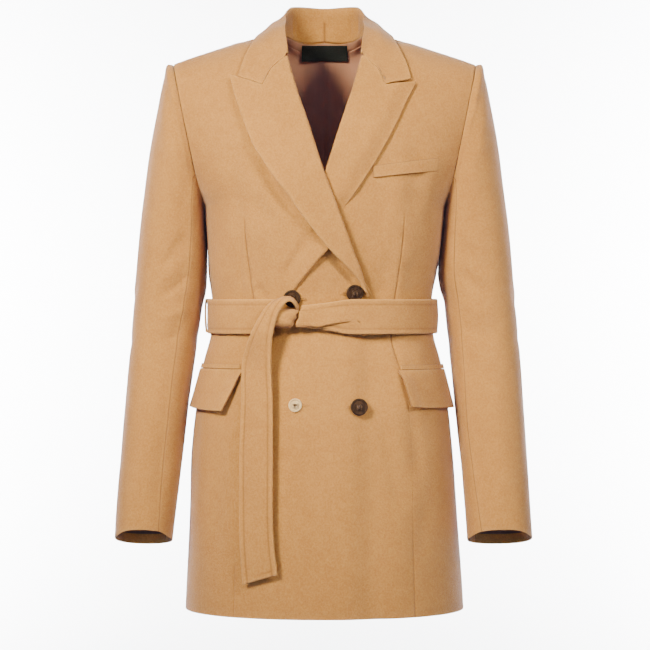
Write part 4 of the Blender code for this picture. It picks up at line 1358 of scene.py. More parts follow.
        # The seams get painted shade, darker on the sleeves' long seams than at the head.
        cloth.sew_edge(Side.FIRST_COLUMN, Side.LAST_COLUMN, depth=0.8, width=1.7, shade=1.5)
        cloth.sew_edge(Side.LAST_ROW, depth=0.6, width=2.0, shade=0.4)
        lined = (cloth.along[:-1, :-1] > self.cuff_turn).astype(int)
        cut = (self.upper_cuts if part == "upper" else self.under_cuts)[name]
        # The darker lining copy stands in for the shade inside the sleeve.
        finishes = [self.finishes.wool, self.finishes.sleeve_lining_painted_shade]
        return self.close(cloth, cut, Hold.DRAPED, lined=lined, finishes=finishes)

    def build(self) -> None:
        """Build both sleeves."""
        for name in SIDES:
            walls = {part: self.wall(name, part, columns) for part, columns in self.columns}
            upper, under = walls["upper"], walls["under"]
            self._move_front_seam(upper, under, np.interp(upper.outer[:, 0, 2], *self.seam_moved[name]))
            for part, wall in walls.items():
                self.piece(name, part, wall)


@dataclass(frozen=True)
class Pull:
    """A place near a piece's corner that lies a little across and up from where it was drafted."""

    piece: str
    x: float
    z: float
    across: float
    up: float
    reach: float


@dataclass
class CollarAndLapels(Sewn):
    """The collar with its stand, and the two peaked lapels that roll over the fronts' edges."""

    collar_cloth: float = 3.0
    collar_columns: int = 9
    collar_tip: tuple[float, float, float] = (-110.0, -90.0, -62.0)
    lapel_cloth: float = 2.6
    lapel_columns: int = 6
    gorge: tuple[float, float, float] = (47.0, -60.0, -37.0)
    roll: float = 3.4
    pulls: tuple[Pull, ...] = (
        Pull("collar", 63.0, 16.0, -4.0, 0.0, 13.0),
        Pull("collar", -63.0, 16.0, 4.0, 0.0, 13.0),
        Pull("collar", 85.0, -25.0, -3.0, 0.0, 24.0),
        Pull("collar", -85.0, -25.0, 2.0, 0.0, 24.0),
        Pull("collar", 109.0, -66.0, 0.0, -4.6, 14.0),
        Pull("collar", -109.0, -66.0, 0.0, -2.0, 14.0),
        Pull("collar", 78.0, -76.0, -1.5, -1.5, 12.0),
        Pull("collar", -78.0, -76.0, 0.0, -2.0, 12.0),
        Pull("lapel_left", 78.0, -76.0, -1.5, -1.5, 14.0),
        Pull("lapel_left", 113.0, -73.0, 2.4, -2.0, 14.0),
        Pull("lapel_right", -78.0, -76.0, 0.0, -2.0, 14.0),
    )
    corner_depth: float = 1.4
    corners: tuple[float, ...] = (-41.0, -36.0, 34.0, 44.0)
    collar_cut: Cut = Cut(0.510, 0.108, 0.0357)
    lapel_cuts: Both = Both(Cut(0.105, 0.341, 0.0192), Cut(0.098, 0.306, 0.0161))
    # How dark the painted shadow line along each lapel's free edge is.
    edge_shade: Both = Both(0.3, 1.5)
    bow: Both = Both(1.5, 0.8)
    stand_off: Both = Both(3.4, -4.2)
    settles: Both = Both((50, 130), (-10, 8))

    def lapel(self, name: str) -> bpy.types.Object:
        """Build one lapel."""
        side = SIDES[name]
        x, y, z = self.gorge
        corner = (x * side, y, z)
        wall = read_wall(f"lapel_{name}", self.lapel_cloth, self.lapel_columns, corner, (side, 0, 0))
        cloth = Cloth(f"lapel_{name}", wall, step=3.2, roll=self.roll)
        width = cloth.across[:, -1:]
        from_foot, from_edge = cloth.distance(Side.LAST_ROW), cloth.distance(Side.LAST_COLUMN)
        arch = np.sin(math.pi * np.clip(cloth.across / width, 0, 1)) ** 1.3
        size = ease(width, 20, 70) * ease(from_foot, 0, 60)
        cloth.bend += self.bow[name] * arch * size
        cloth.bend += slack(cloth.points + (7, 3, 11), 0.28) * arch * size
        free = ease(from_edge, 26, 0) * ease(from_foot, 0, 50)
        cloth.bend += self.stand_off[name] * free * ease(cloth.distance(Side.FIRST_ROW), *self.settles[name])
        cloth.fold_edge(Side.LAST_COLUMN, Side.FIRST_ROW, Side.LAST_ROW)
        # Painted shadow line along the free edge, where it lies on the front.
        cloth.outline(Side.LAST_COLUMN, shade=self.edge_shade[name], width=0.8)
        if name == "right":
            # Painted shadow line along the right lapel's roll edge, below where it lies over the left front.
            roll_shadow_span = ease(cloth.points[..., 2], -175, -195)
            cloth.paint_shade(roll_shadow_span * bell(cloth.distance(Side.FIRST_COLUMN), 1.2))
        self._pull(cloth)
        return self.close(cloth, self.lapel_cuts[name], Hold.FOLDED, [f"front_{name}"])

    def collar(self) -> bpy.types.Object:
        """Build the collar."""
        tip, inside = self.collar_tip, (0, 10, -60)
        wall = read_wall("collar", self.collar_cloth, self.collar_columns, tip, (1, 0, 0), inside=inside)
        cloth = Cloth("collar", wall, step=3.2, sharpest=FREE_FOLD)
        from_seam = cloth.distance(Side.LAST_COLUMN)
        fall = ease(cloth.across, 0, 14) * ease(from_seam, 30, 60)
        cloth.bend += slack(cloth.points + (3, 9, 5), 0.35) * fall
        cloth.fold_edge(Side.FIRST_COLUMN, Side.FIRST_ROW, Side.LAST_ROW)
        cloth.sew_edge(Side.LAST_COLUMN, meet=0.8)
        # Painted shade of the centre back seam across the stand.
        cloth.paint_shade(1.2 * (bell(cloth.points[..., 0], 1.6) * (from_seam < 26)))
        stand = ease(from_seam, 4, 10) * ease(from_seam, 34, 26)
        behind = ease(cloth.points[..., 1], 0, 20)
        for place in self.corners:
            cloth.bend -= self.corner_depth * stand * behind * bell(cloth.points[..., 0] - place, 2.0)
        self._pull(cloth)
        return self.close(cloth, self.collar_cut, Hold.FOLDED, ["back_left", "back_right"])

    def _pull(self, cloth: Cloth) -> None:
        """Move the corners round the notches."""
        moved = np.zeros_like(cloth.points)
        for pull in self.pulls:
            if pull.piece == cloth.name:
                away = np.hypot(cloth.points[..., 0] - pull.x, cloth.points[..., 2] - pull.z)
                moved += bell(away, pull.reach)[..., None] * (pull.across, 0.0, pull.up)
        cloth.shift += moved

    def build(self) -> None:
        """Build the lapels and the collar."""
        for name in SIDES:
            self.lapel(name)
        self.collar()


@dataclass
class NeckLining(Sewn):
    """The lining of the upper back with its pleat, and the blank label under the neck seam."""

    lining_columns: int = 13
    label_columns: int = 5
    cloth: float = 0.8
    pleat_depth: float = 2.2
    fold_height: float = 0.8
    lining_cut: Cut = Cut(0.328, 0.314, 0.0697)
    label_cut: Cut = Cut(0.062, 0.0245, 0.00151)

    def lining(self) -> bpy.types.Object:
        """Build the lining. Its inner face is the one that shows."""
        wall = read_wall("lining_back", self.cloth, self.lining_columns, (-120, 90, -282), (1, 0, 0))
        cloth = Cloth("lining_back", wall, step=3.0)
        x, z = cloth.points[..., 0], cloth.points[..., 2]
        loose = ease(cloth.distance(Side.LAST_ROW), 0, 30)
        step = ease(x, 1.0, 2.6) * ease(x, 26, 6)
        folds = 0.9 * np.sin(x / 15 + z / 60 + 0.6) + 0.6 * np.sin(x / 8.5 - z / 40)
        cloth.bend -= loose * (self.pleat_depth * step + self.fold_height * folds * ease(np.abs(x), 8, 30))
        cloth.fold_edge(*Side)
        finishes, rests_on = [self.finishes.lining], ["back_left", "back_right"]
        return self.close(cloth, self.lining_cut, Hold.HUNG, rests_on, finishes=finishes, slot="lining")

    def label(self) -> bpy.types.Object:
        """Build the label."""
        wall = read_wall("neck_label", self.cloth, self.label_columns, (-31, 60, -5), (1, 0, 0))
        cloth = Cloth("neck_label", wall, step=1.5, near=(0.0, 0.1, 0.3, 0.7))
        cloth.fold_edge(*Side)
        for side in (Side.FIRST_COLUMN, Side.LAST_COLUMN):
            cloth.under += 0.12 * bell(cloth.distance(side) - 1.6, 0.5)
        cloth.bend += 0.25 * np.sin(cloth.points[..., 0] / 11)
        finishes = [self.finishes.tape]
        return self.close(cloth, self.label_cut, Hold.LAID, ["lining_back"], finishes=finishes, slot="label")

    def build(self) -> None:
        """Build the lining and the label."""
        self.lining()
        self.label()


@dataclass
class Pockets(Sewn):
    """The two flap pockets with their jets, and the chest pocket's welt."""

    cloth: float = 2.0
    trim_cloth: float = 1.5
    flap_columns: int = 7
    flap_corner: tuple[float, float, float] = (98.0, -98.0, -437.0)
    jet_corner: tuple[float, float, float] = (102.0, -95.0, -429.0)
    welt_columns: int = 6
    near_edge: tuple[float, ...] = (0.0, 0.2, 0.5, 1.0)
    flap_cuts: Both = Both(Cut(0.099, 0.058, 0.0053), Cut(0.105, 0.052, 0.0054))
    flap_lift: Both = Both(2.6, 4.4)
    flap_drop: Both = Both(0.0, 4.8)
    flap_lean: Both = Both(0.0, 5.6)
    jet_cut: Cut = Cut(0.098, 0.010, 0.00068)
    welt_cut: Cut = Cut(0.091, 0.0170, 0.00154)

    def _read(self, node: str, cloth: float, side: int, corner: tuple[float, float, float]) -> Wall:
        """Read a flap's or jet's wall, from its front top corner, given for the left side."""
        x, y, z = corner
        return read_wall(node, cloth, self.flap_columns, (x * side, y, z), (side, 0, 0))

    def flap(self, name: str) -> bpy.types.Object:
        """Build one flap."""
        wall = self._read(f"pocket_flap_{name}", self.cloth, SIDES[name], self.flap_corner)
        cloth = Cloth(f"pocket_flap_{name}", wall, step=2.6)
        across = cloth.across / cloth.across[:, -1:]
        free = ease(cloth.along, 6, 50)
        cloth.bend += free * (0.9 * np.sin(across * 6.0 + 0.8) + 0.4 * np.sin(across * 13.0))
        cloth.bend += self.flap_lift[name] * ease(across, 0.22, 0.0) * ease(cloth.along, 2, 14)
        drop = ease(cloth.along, 0, 60)
        cloth.shift[..., 2] -= self.flap_drop[name] * drop
        cloth.shift[..., 0] -= self.flap_lean[name] * drop * (1 - across)
        cloth.fold_edge(Side.FIRST_COLUMN, Side.LAST_COLUMN, Side.LAST_ROW)
        cloth.sew_edge(Side.FIRST_ROW, depth=0.9, width=2.5)
        # Painted shadow lines along the flap's front and bottom edges.
        cloth.outline(Side.FIRST_COLUMN, Side.LAST_ROW, shade=1.1, width=0.8)
        return self.close(cloth, self.flap_cuts[name], Hold.HUNG, [f"front_{name}"], lined=1)

    def jet(self, name: str) -> bpy.types.Object:
        """Build the jet above one flap."""
        wall = self._read(f"pocket_jet_{name}", self.trim_cloth, SIDES[name], self.jet_corner)
        cloth = Cloth(f"pocket_jet_{name}", wall, step=1.8, near=self.near_edge)
        cloth.fold_edge(Side.FIRST_ROW, Side.LAST_ROW, Side.FIRST_COLUMN)
        cloth.bend += 0.12 * np.sin(cloth.across / 5.0)
        # Painted shadow lines along the jet's top and bottom edges.
        cloth.outline(Side.FIRST_ROW, Side.LAST_ROW, shade=1.6)
        return self.close(cloth, self.jet_cut, Hold.FOLDED, [f"front_{name}"])

    def welt(self) -> bpy.types.Object:
        """Build the chest welt."""
        wall = read_wall("chest_welt", self.trim_cloth, self.welt_columns, (62, -100, -195), (1, 0, 0))
        cloth = Cloth("chest_welt", wall, step=2.2, near=self.near_edge)
        cloth.fold_edge(*Side)
        cloth.stitch_line(Side.FIRST_COLUMN, Side.LAST_COLUMN, inside=1.6, depth=0.25)
        # Painted shadow lines round the whole welt.
        cloth.outline(*Side, shade=1.6)
        return self.close(cloth, self.welt_cut, Hold.FOLDED, ["front_left"])

    def build(self) -> None:
        """Build every pocket piece."""
        for name in SIDES:
            self.flap(name)
            self.jet(name)
        self.welt()


@dataclass
class Belt(Sewn):
    """The tie belt: the stretch round the waist, the loops, both hanging ends and the knot."""

    cloth: float = 3.5
    loop_cloth: float = 1.2
    stitches_inside: float = 6.3
    tail_columns: int = 4
    around_cut: Cut = Cut(0.044, 0.792, 0.0348)
    front_tail_cut: Cut = Cut(0.044, 0.395, 0.0172)
    back_tail_cut: Cut = Cut(0.044, 0.246, 0.0106)
    band_cut: Cut = Cut(0.044, 0.040, 0.00176)
    loop_cut: Cut = Cut(0.010, 0.067, 0.00065)
    folds: tuple[Lap, ...] = (
        Lap(
            line=((-36, -383.2), (-5.7, -382.2), (6.9, -379.9), (24, -377.4), (40, -375.8)),
            heights=(3.0, 3.2, 2.8, 1.7, 0.0),
            proud_side=1,
            reach=16.0,
            foot=1.2,
            gather=7.0,
            overhang=0.9,
        ),
        Lap(
            line=((-5.2, -383.6), (4, -385.4), (14.5, -387.8)),
            heights=(1.9, 1.5, 0.0),
            proud_side=1,
            reach=5.0,
            foot=0.8,
            gather=4.0,
            overhang=0.5,
        ),
    )
    arch: tuple[tuple[tuple[float, float, float], tuple[float, float, float]], ...] = (
        ((-37, -107, -364), (-34.8, -112, -364)),
        ((-38, -107, -356), (-35.4, -118, -357.5)),
        ((-41.5, -107, -350), (-38.8, -122, -352.3)),
        ((-48, -107.5, -347), (-43, -124.2, -349.8)),
        ((-58, -110, -348.6), (-48.0, -125.6, -351.6)),
        ((-67, -114, -352), (-52.8, -126.2, -357.2)),
        ((-74.5, -117.4, -358.5), (-57.8, -126, -366)),
        ((-83, -119.2, -371.5), (-61.2, -125, -377)),
    )
    arch_bulge: float = 2.4
    stand_off: tuple[tuple[float, ...], tuple[float, ...]] = (
        (-690, -600, -480, -420, -392, -380),
        (1.5, 2.5, 4.5, 6.0, 3.0, 0.0),
    )
    tail_top: float = -391.0
    foot_spread: float = 3.6
    loop_forward: float = 9.0
    loop_sunk: float = 3.6
    loop_drawn: float = 3.2
    loop_padding: float = 0.6
    loop_closer: Both = Both(0.4, 3.0)
    loop_ends: tuple[float, float] = (21.0, 25.5)
    band_cloth: float = 3.0
    band_points: int = 11
    band_turns: tuple[float, float] = (118.0, -112.0)
    band_start: float = -69.0
    band_reach: float = 31.8
    band_flare: float = 4.4
    band_back: float = -112.0
    band_depth: float = 9.5
    band_half: float = 8.8
    band_swell: float = 1.2
    band_height: float = -371.2
    band_slope: float = 1.5

    def around(self) -> bpy.types.Object:
        """Build the stretch round the waist, pinched into a fold where it enters the knot."""
        wall = read_wall("belt_around", self.cloth, 2, (-30, -115, -356), (0, 0, -1))
        cloth = Cloth("belt_around", wall, step=2.4)
        middle = cloth.across / cloth.across[:, -1:]
        from_knot, crown = cloth.along, np.sin(math.pi * middle)
        wave = 0.5 * np.sin(from_knot / 37 + 2.2 * middle) + 0.3 * np.sin(from_knot / 19 + 1.1)
        cloth.bend += wave * ease(from_knot, 20, 70) * ease(cloth.distance(Side.LAST_ROW), 0, 30) * crown
        cloth.bend += 2.2 * bell(from_knot, 26) * crown
        for lap in self.folds:
            lap.fold(cloth)
        slant = (1.0 - 8.0 * middle**1.3 + 0.8 * np.sin(middle * 15)) * np.exp(-((from_knot / 15) ** 1.5))
        cloth.shift[..., 0] += slant
        cloth.bend += 3.0 * bell(from_knot, 12) * ease(middle, 0, 0.25)
        cloth.fold_edge(*Side)
        cloth.stitch_line(Side.FIRST_COLUMN, Side.LAST_COLUMN, inside=self.stitches_inside)
        return self.close(cloth, self.around_cut, Hold.FOLDED, ["front_left", "front_right"])

    def tail(
        self, name: str, start: Sequence[float], cut: Cut, arched: bool = False, **named: object
    ) -> bpy.types.Object:
        """Build one hanging end, with the arch that it comes over if it is the front one."""
        wall = read_wall(name, self.cloth, self.tail_columns, start, (0.8, -0.5, 0))
        if arched:
            wall = self._with_arch(wall)
        cloth = Cloth(name, wall, step=2.2, sharpest=FREE_FOLD)
        middle = np.sin(math.pi * cloth.across / cloth.across[:, -1:])
        cloth.bend += middle * (0.5 * np.sin(cloth.along / 33) + 0.4 * np.sin(cloth.along / 14 + 1.0))
        if arched:
            reach = cloth.across / cloth.across[:, -1:]
            stand_off = np.interp(cloth.points[..., 2], *self.stand_off)
            cloth.bend += stand_off * (0.15 + 0.85 * ease(reach, 0.0, 0.9))
            cloth.shift[..., 0] -= self.foot_spread * (1 - reach) * ease(cloth.points[..., 2], -560, -690)
        cloth.fold_edge(*Side)
        cloth.stitch_line(Side.FIRST_COLUMN, Side.LAST_COLUMN, inside=self.stitches_inside)
        cloth.stitch_line(Side.LAST_ROW, inside=self.stitches_inside, ends=self.stitches_inside)
        return self.close(cloth, cut, Hold.HUNG, **named)

    def _with_arch(self, wall: Wall) -> Wall:
        """The wall of the front end, with the rows above the knot drawn as a twisted arch."""
        kept = ((wall.outer + wall.inner) / 2)[..., 2].mean(axis=1) < self.tail_top
        shares = np.linspace(0, 1, self.tail_columns)[:, None]
        rows = [np.array(back) * (1 - shares) + np.array(front) * shares for back, front in self.arch]
        middles = np.concatenate([np.array(rows), ((wall.outer + wall.inner) / 2)[kept]])
        bulge = self.arch_bulge * np.sin(math.pi * shares[:, 0])[None] * ease(middles[:, :1, 2], -400, -370)
        return wall_along(middles, self.cloth, bulge)

    def band(self) -> bpy.types.Object:
        """Build the short stretch that is wrapped round the knot."""
        shares = np.linspace(0, 1, self.band_points)[:, None]
        turns = np.radians(np.linspace(*self.band_turns, self.band_points))[None]
        depth = self.band_depth * np.sqrt(np.maximum(1 - np.maximum((shares - 0.55) / 0.47, 0) ** 2.6, 0.0))
        half = self.band_half + self.band_swell * np.sin(math.pi * shares * 0.8)
        across = self.band_start + shares * (self.band_reach + self.band_flare * np.sin(turns))
        deep = self.band_back - depth * np.cos(turns) * np.abs(np.cos(turns)) ** -0.25
        height = self.band_height + half * np.sin(turns) - self.band_slope * shares
        middles = np.stack([across, deep, height], axis=-1)
        cloth = Cloth("belt_knot", wall_along(middles, self.band_cloth), step=1.6, sharpest=FREE_FOLD)
        from_end = cloth.distance(Side.LAST_ROW)
        across = cloth.across / cloth.across[:, -1:]
        ripple = 0.6 * np.sin(across * 11 + cloth.along / 9) + 0.35 * np.sin(across * 23 - cloth.along / 6)
        cloth.bend += ease(from_end, 0, 7) * ripple
        cloth.shift[..., 0] += 0.9 * np.sin(across * 17 + 0.6) * (1 - ease(from_end, 0, 12))
        cloth.fold_edge(*Side)
        return self.close(cloth, self.band_cut, Hold.FOLDED)

    def loop(self, name: str) -> bpy.types.Object:
        """Build one belt loop."""
        wall = read_wall(f"belt_loop_{name}", self.loop_cloth, 2, (150 * SIDES[name], -4.5, -340), (0, 1, 0))
        cloth = Cloth(f"belt_loop_{name}", wall, step=1.2, near=(0.0, 0.15, 0.4, 0.8), sharpest=90)
        cloth.press += self.loop_padding
        cloth.under -= self.loop_padding
        middle = cloth.points[..., 2].mean()
        sunk = ease(np.abs(cloth.points[..., 2] - middle), *self.loop_ends)
        cloth.shift[..., 0] -= SIDES[name] * self.loop_sunk * sunk
        cloth.shift[..., 0] -= SIDES[name] * self.loop_closer[name]
        cloth.shift[..., 2] -= self.loop_drawn * sunk * np.sign(cloth.points[..., 2] - middle)
        cloth.shift[..., 1] -= self.loop_forward
        cloth.fold_edge(*Side)
        return self.close(cloth, self.loop_cut, Hold.STRETCHED, ["belt_around"])

    def build(self) -> None:
        """Build every belt piece."""
        self.around()
        front = "belt_tail_front"
        self.tail(front, (-78, -113, -347.5), self.front_tail_cut, arched=True, replaces=[front, "belt_fold"])
        self.band()
        self.tail("belt_tail_back", (-92, -93, -395), self.back_tail_cut)
        for name in SIDES:
            self.loop(name)


# ---------------------------------------------------------------- modelling with operators


def leave_edit_mode() -> None:
    """Go back to object mode."""
    if bpy.context.object and bpy.context.object.mode != "OBJECT":
        bpy.ops.object.mode_set(mode="OBJECT")


def deselect_all() -> None:
    """Leave edit mode and select nothing."""
    leave_edit_mode()
    bpy.ops.object.select_all(action="DESELECT")


def select_where(piece: bpy.types.Object, kind: str, chosen: Callable[[object], bool]) -> None:
    """Select a mesh's vertices, edges or faces by a test on each, and enter edit mode."""
    bpy.ops.object.mode_set(mode="EDIT")
    bpy.ops.mesh.select_mode(type=kind)
    bpy.ops.mesh.select_all(action="DESELECT")
    leave_edit_mode()
    parts = {"VERT": piece.data.vertices, "EDGE": piece.data.edges, "FACE": piece.data.polygons}[kind]
    for part in parts:
        part.select = bool(chosen(part))
    bpy.ops.object.mode_set(mode="EDIT")


def ends_of(piece: bpy.types.Object, edge: bpy.types.MeshEdge) -> list[Vector]:
    """The places of an edge's two ends."""
    return [piece.data.vertices[corner].co for corner in edge.vertices]


def raise_selected(height: float) -> None:
    """Move what is selected along Z."""
    bpy.ops.transform.translate(value=(0, 0, height))


def named(name: str) -> bpy.types.Object:
    """Name the object that was just added."""
    piece = bpy.context.object
    piece.name = name
    piece.data.name = name
    return piece


@dataclass
class Buttons(Sewn):
    """Dished four-hole buttons on thread shanks, and the worked ends of their buttonholes.

    The radius, height and dish, and the buttonhole's sizes, are in millimetres. The other lengths are
    shares of the button's radius.
    """

    sides: int = 56
    radius: float = 10.8
    height: float = 4.2
    dish: float = 1.0
    blank: float = 0.93
    rim: float = 0.16
    dish_wall: float = 0.07
    dish_floor: float = 0.22
    floor_sunk: float = 0.02
    foot: float = 0.18
    foot_sunk: float = 0.001
    edge_round: float = 0.07
    dish_round: float = 0.03
    hole: float = 0.105
    hole_place: float = 0.23
    shank: float = 0.2
    strand: float = 0.034
    strand_apart: float = 0.035
    strand_height: float = 0.235
    strand_flat: float = 0.42
    worked_length: float = 15.0
    worked_width: float = 1.25
    worked_rope: float = 0.62
    worked_flat: float = 0.55
    worked_sunk: float = 0.35
    smooth_below: float = 34.0
    names: tuple[str, ...] = ("upper_left", "upper_right", "lower_left", "lower_right")
    pale: str = "lower_right"

    def disc(self) -> bpy.types.Object:
        """Model one button of radius 1, lying on z = 0 and as high as 0.39, with its holes."""
        deselect_all()
        tall = self.height / self.radius
        place = (0, 0, tall / 2)
        bpy.ops.mesh.primitive_cylinder_add(
            vertices=self.sides, radius=self.blank, depth=tall, location=place
        )
        disc = named("button")
        select_where(disc, "FACE", lambda face: face.normal.z > 0.9)
        bpy.ops.mesh.inset(thickness=self.rim)
        bpy.ops.mesh.inset(thickness=self.dish_wall)
        raise_selected(-self.dish / self.radius)
        bpy.ops.mesh.inset(thickness=self.dish_floor)
        raise_selected(-self.floor_sunk)
        select_where(disc, "FACE", lambda face: face.normal.z < -0.9)
        bpy.ops.mesh.inset(thickness=self.foot)
        raise_selected(-self.foot_sunk)

        def at_rim(edge: bpy.types.MeshEdge) -> bool:
            """Whether an edge runs round the outside."""
            return all(math.hypot(*end[:2]) > 0.9 for end in ends_of(disc, edge))

        select_where(disc, "EDGE", at_rim)
        bpy.ops.mesh.bevel(offset=self.edge_round, segments=5, affect="EDGES")

        def in_dish(edge: bpy.types.MeshEdge) -> bool:
            """Whether an edge runs round the top of the dish."""
            return all(0.70 < math.hypot(*end[:2]) < 0.82 and end.z > 0.2 for end in ends_of(disc, edge))

        select_where(disc, "EDGE", in_dish)
        bpy.ops.mesh.bevel(offset=self.dish_round, segments=3, affect="EDGES")
        leave_edit_mode()
        scale = 1 / max(math.hypot(*vertex.co[:2]) for vertex in disc.data.vertices)
        for vertex in disc.data.vertices:
            vertex.co.x *= scale
            vertex.co.y *= scale
        self._drill(disc)
        return disc

    def _drill(self, disc: bpy.types.Object) -> None:
        """Cut four holes through the disc."""
        for x in (-1, 1):
            for y in (-1, 1):
                deselect_all()
                place = (x * self.hole_place, y * self.hole_place, 0.15)
                bpy.ops.mesh.primitive_cylinder_add(vertices=16, radius=self.hole, depth=1.2, location=place)
                drill = named("drill")
                cut = disc.modifiers.new("hole", "BOOLEAN")
                cut.operation = "DIFFERENCE"
                cut.object = drill
                deselect_all()
                bpy.context.view_layer.objects.active = disc
                disc.select_set(True)
                bpy.ops.object.modifier_apply(modifier=cut.name)
                bpy.data.objects.remove(drill, do_unlink=True)

    def threads(self) -> bpy.types.Object:
        """Model the strands between the holes and the shank under them, for a button of radius 1."""
        deselect_all()
        bpy.ops.mesh.primitive_cylinder_add(
            vertices=14, radius=self.shank, depth=0.3, location=(0, 0, -0.02)
        )
        strands = named("thread")
        select_where(strands, "FACE", lambda face: abs(face.normal.z) > 0.9)
        bpy.ops.mesh.inset(thickness=0.06)
        bpy.ops.mesh.select_all(action="DESELECT")
        for x in (-1, 1):
            for offset in (-self.strand_apart, self.strand_apart):
                bpy.ops.mesh.primitive_torus_add(
                    major_segments=26,
                    minor_segments=8,
                    major_radius=self.hole_place,
                    minor_radius=self.strand,
                    location=(x * self.hole_place + offset, 0, self.strand_height),
                    rotation=(0, math.pi / 2, 0),
                )
                middle = (0, 0, self.strand_height)
                bpy.ops.transform.resize(value=(1, 1, self.strand_flat), center_override=middle)
                bpy.ops.mesh.select_all(action="DESELECT")
        leave_edit_mode()
        return strands

    def worked_hole(self) -> bpy.types.Object:
        """Model the stitched rim of a buttonhole, 1 mm to a unit, from the button's middle out along +X."""
        deselect_all()
        bpy.ops.mesh.primitive_torus_add(
            major_segments=40,
            minor_segments=8,
            major_radius=self.worked_width,
            minor_radius=self.worked_rope,
        )
        rim = named("buttonhole")
        select_where(rim, "VERT", lambda vertex: vertex.co.x > 0.0)
        bpy.ops.transform.translate(value=(self.worked_length, 0, 0))

        def is_long(edge: bpy.types.MeshEdge) -> bool:
            """Whether an edge runs along the slit."""
            first, second = ends_of(rim, edge)
            return abs(first.x - second.x) > 5

        select_where(rim, "EDGE", is_long)
        bpy.ops.mesh.subdivide(number_cuts=22)
        leave_edit_mode()
        for vertex in rim.data.vertices:
            vertex.co.z *= self.worked_flat
        return rim

    def placed(
        self,
        model: bpy.types.Object,
        name: str,
        matrix: np.ndarray,
        finish: bpy.types.Material,
        slot: str,
        stands_for: Sequence[str] = (),
    ) -> bpy.types.Object:
        """Copy a model with its own mesh, put it in its place and dress it.

        Args:
            model: The object to copy.
            name: The new piece's name.
            matrix: Its place, as 4 rows of 4 numbers.
            finish: Its material.
            slot: A material slot's name. Not used.
            stands_for: The frame's nodes that it replaces.

        Returns:
            The new piece.
        """
        data = model.data.copy()
        data.name = name
        data.transform(Matrix(matrix.tolist()))
        data.materials.clear()
        data.materials.append(finish)
        piece = bpy.data.objects.new(name, data)
        bpy.context.scene.collection.objects.link(piece)
        deselect_all()
        bpy.context.view_layer.objects.active = piece
        piece.select_set(True)
        bpy.ops.object.shade_smooth_by_angle(angle=math.radians(self.smooth_below))
        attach(piece, "root")
        if stands_for:
            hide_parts(*stands_for)
        LOG.info("%s: %d faces", name, len(data.polygons))
        return piece

    def _seat(self, name: str) -> tuple[np.ndarray, np.ndarray, float]:
        """Where a frame button is seated, its three axes as columns, and its radius."""
        points = np.array([vertex.co[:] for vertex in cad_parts[f"button_{name}"].data.vertices])
        low, high = points.min(axis=0), points.max(axis=0)
        spread = np.linalg.eigh(np.cov((points - points.mean(axis=0)).T))[1]
        axis = spread[:, 0] * (-1 if spread[1, 0] > 0 else 1)
        radius = (high[0] - low[0]) / 2 / math.sqrt(max(1 - axis[0] ** 2, 0.5))
        over = unit(np.cross((0, 0, 1.0), axis))
        over = -over if over[0] < 0 else over
        seat = (low + high) / 2 - axis * (self.height / 2 * MM)
        return seat, np.stack([over, np.cross(axis, over), axis], axis=1), radius

    def build(self) -> None:
        """Build every button with its thread and buttonhole."""
        disc, strands, hole = self.disc(), self.threads(), self.worked_hole()
        for name in self.names:
            seat, axes, radius = self._seat(name)
            over, up, axis = axes.T
            tall, flat = np.eye(4), np.eye(4)
            tall[:3, :3] = np.stack([over * radius, up * radius, axis * self.radius * MM], axis=1)
            tall[:3, 3] = seat
            way = -1.0 if name.endswith("left") else 1.0
            flat[:3, :3] = np.stack([over * way, up * way, axis], axis=1) * MM
            flat[:3, 3] = seat - axis * self.worked_sunk * MM
            slot, finish, thread = "dark_button", self.finishes.dark_horn, self.finishes.thread
            if name == self.pale:
                slot, finish, thread = "pale_button", self.finishes.ivory, self.finishes.pale_thread
            piece = self.placed(disc, f"horn_button_{name}", tall, finish, slot, [f"button_{name}"])
            self.placed(strands, f"button_thread_{name}", tall, thread, slot).parent = piece
            self.placed(hole, f"buttonhole_{name}", flat, self.finishes.wool, "wool")
        for model in (disc, strands, hole):
            bpy.data.objects.remove(model, do_unlink=True)


# ---------------------------------------------------------------- studio


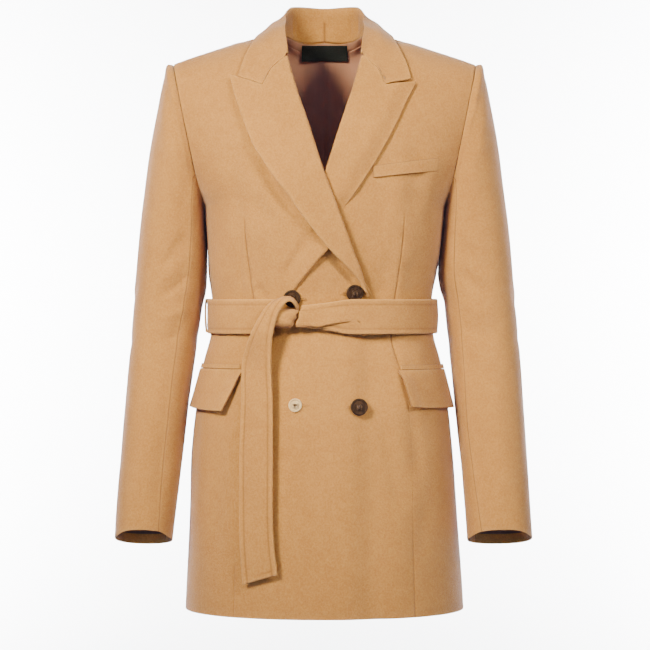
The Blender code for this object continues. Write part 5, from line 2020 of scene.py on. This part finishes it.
@dataclass
class Studio:
    """A pale floor that curves up into a backdrop, soft light from above the front, and the camera."""

    floor_height: float = -1.42
    back: float = 4.6
    front: float = -5.5
    half_width: float = 6.0
    top: float = 4.2
    bend: float = 1.2
    camera_place: tuple[float, float, float] = (0.0006, -3.0, -0.3615)
    lens: float = 127.31
    rise: float = -3.0 / 130.0
    keys: tuple[tuple[float, tuple[float, float, float]], ...] = (
        (10.6, (-1.62, -2.15, 1.12)),
        (4.6, (1.70, -2.09, 1.15)),
    )
    key_colour: tuple[float, float, float] = (1.0, 0.96, 0.58)
    cool: tuple[float, float, float] = (0.40, 0.56, 1.0)
    fill_colour: tuple[float, float, float] = (0.64, 0.78, 1.0)
    key_aim: tuple[float, float, float] = (0.0, 0.0, -0.30)
    key_spread: float = 30.0
    key_size: float = 0.9
    fill_aim: tuple[float, float, float] = (0.0, 0.0, -0.35)
    fill_size: float = 2.0
    backdrop_size: float = 1.2
    fill_power: float = 8.0
    fill_place: tuple[float, float, float] = (0.2, -3.0, 0.25)
    backdrop_power: float = 1250.0
    backdrop_place: tuple[float, float, float] = (2.6, 2.4, -0.3)
    surround: float = 0.42

    def camera(self) -> None:
        """Place the camera straight before the coat and level."""
        data = bpy.data.cameras.new("camera")
        data.sensor_width = 36.0
        data.lens = self.lens
        data.shift_y = self.rise
        camera = bpy.data.objects.new("camera", data)
        camera.location = self.camera_place
        camera.rotation_euler = (math.pi / 2, 0, 0)
        bpy.context.scene.collection.objects.link(camera)
        bpy.context.scene.camera = camera

    def backdrop(self) -> None:
        """Model the floor and the backdrop as one sheet."""
        deselect_all()
        bpy.ops.mesh.primitive_plane_add(size=1.0, location=(0, 0, 0))
        sheet = named("backdrop")
        sheet.scale = (2 * self.half_width, self.back - self.front, 1)
        sheet.location = (0, (self.back + self.front) / 2, self.floor_height)
        bpy.ops.object.transform_apply(location=True, rotation=True, scale=True)

        def at_back(edge: bpy.types.MeshEdge) -> bool:
            """Whether an edge lies at the back."""
            return all(end.y > self.back - 0.01 for end in ends_of(sheet, edge))

        def at_bend(edge: bpy.types.MeshEdge) -> bool:
            """Whether an edge lies where the floor meets the backdrop."""
            return at_back(edge) and all(end.z < self.floor_height + 0.01 for end in ends_of(sheet, edge))

        select_where(sheet, "EDGE", at_back)
        rise = (0, 0, self.top - self.floor_height)
        bpy.ops.mesh.extrude_region_move(TRANSFORM_OT_translate={"value": rise})
        select_where(sheet, "EDGE", at_bend)
        bpy.ops.mesh.bevel(offset=self.bend, segments=24, affect="EDGES")
        leave_edit_mode()
        sheet.data.shade_smooth()
        sheet.data.materials.append(PaperFinish().make("paper"))

    def lamp(
        self, name: str, place: Sequence[float], aim: Sequence[float], power: float, size: float
    ) -> bpy.types.Light:
        """Add a large soft lamp that faces a point."""
        data = bpy.data.lights.new(name, "AREA")
        data.shape = "DISK"
        data.size = size
        data.energy = power
        lamp = bpy.data.objects.new(name, data)
        lamp.location = place
        lamp.rotation_euler = (Vector(aim) - Vector(place)).to_track_quat("-Z", "Y").to_euler()
        bpy.context.scene.collection.objects.link(lamp)
        return data

    def build(self) -> None:
        """Build the studio."""
        self.camera()
        self.backdrop()
        for power, place in self.keys:
            key = self.lamp("key", place, self.key_aim, power, self.key_size)
            key.spread = math.radians(self.key_spread)
            key.color = self.key_colour
        fill = self.lamp("fill", self.fill_place, self.fill_aim, self.fill_power, self.fill_size)
        fill.color = self.fill_colour
        across, deep, high = self.backdrop_place
        for side in (-1, 1):
            place, aim = (side * across, deep, high), (side * across, deep + 1, high)
            self.lamp("backdrop_light", place, aim, self.backdrop_power, self.backdrop_size)
        world = bpy.data.worlds.new("surround")
        world.use_nodes = True
        background = world.node_tree.nodes["Background"]
        background.inputs["Color"].default_value = (*self.cool, 1.0)
        background.inputs["Strength"].default_value = self.surround
        bpy.context.scene.world = world


def main() -> None:
    """Build the coat and the studio."""
    studio = Studio()
    studio.build()
    finishes = Finishes()
    for assembly in (
        Body(finishes),
        Sleeves(finishes),
        CollarAndLapels(finishes),
        NeckLining(finishes),
        Pockets(finishes),
        Belt(finishes),
        Buttons(finishes),
    ):
        assembly.build()
        LOG.info("built %s", type(assembly).__name__)


if __name__ == "__main__":
    main()
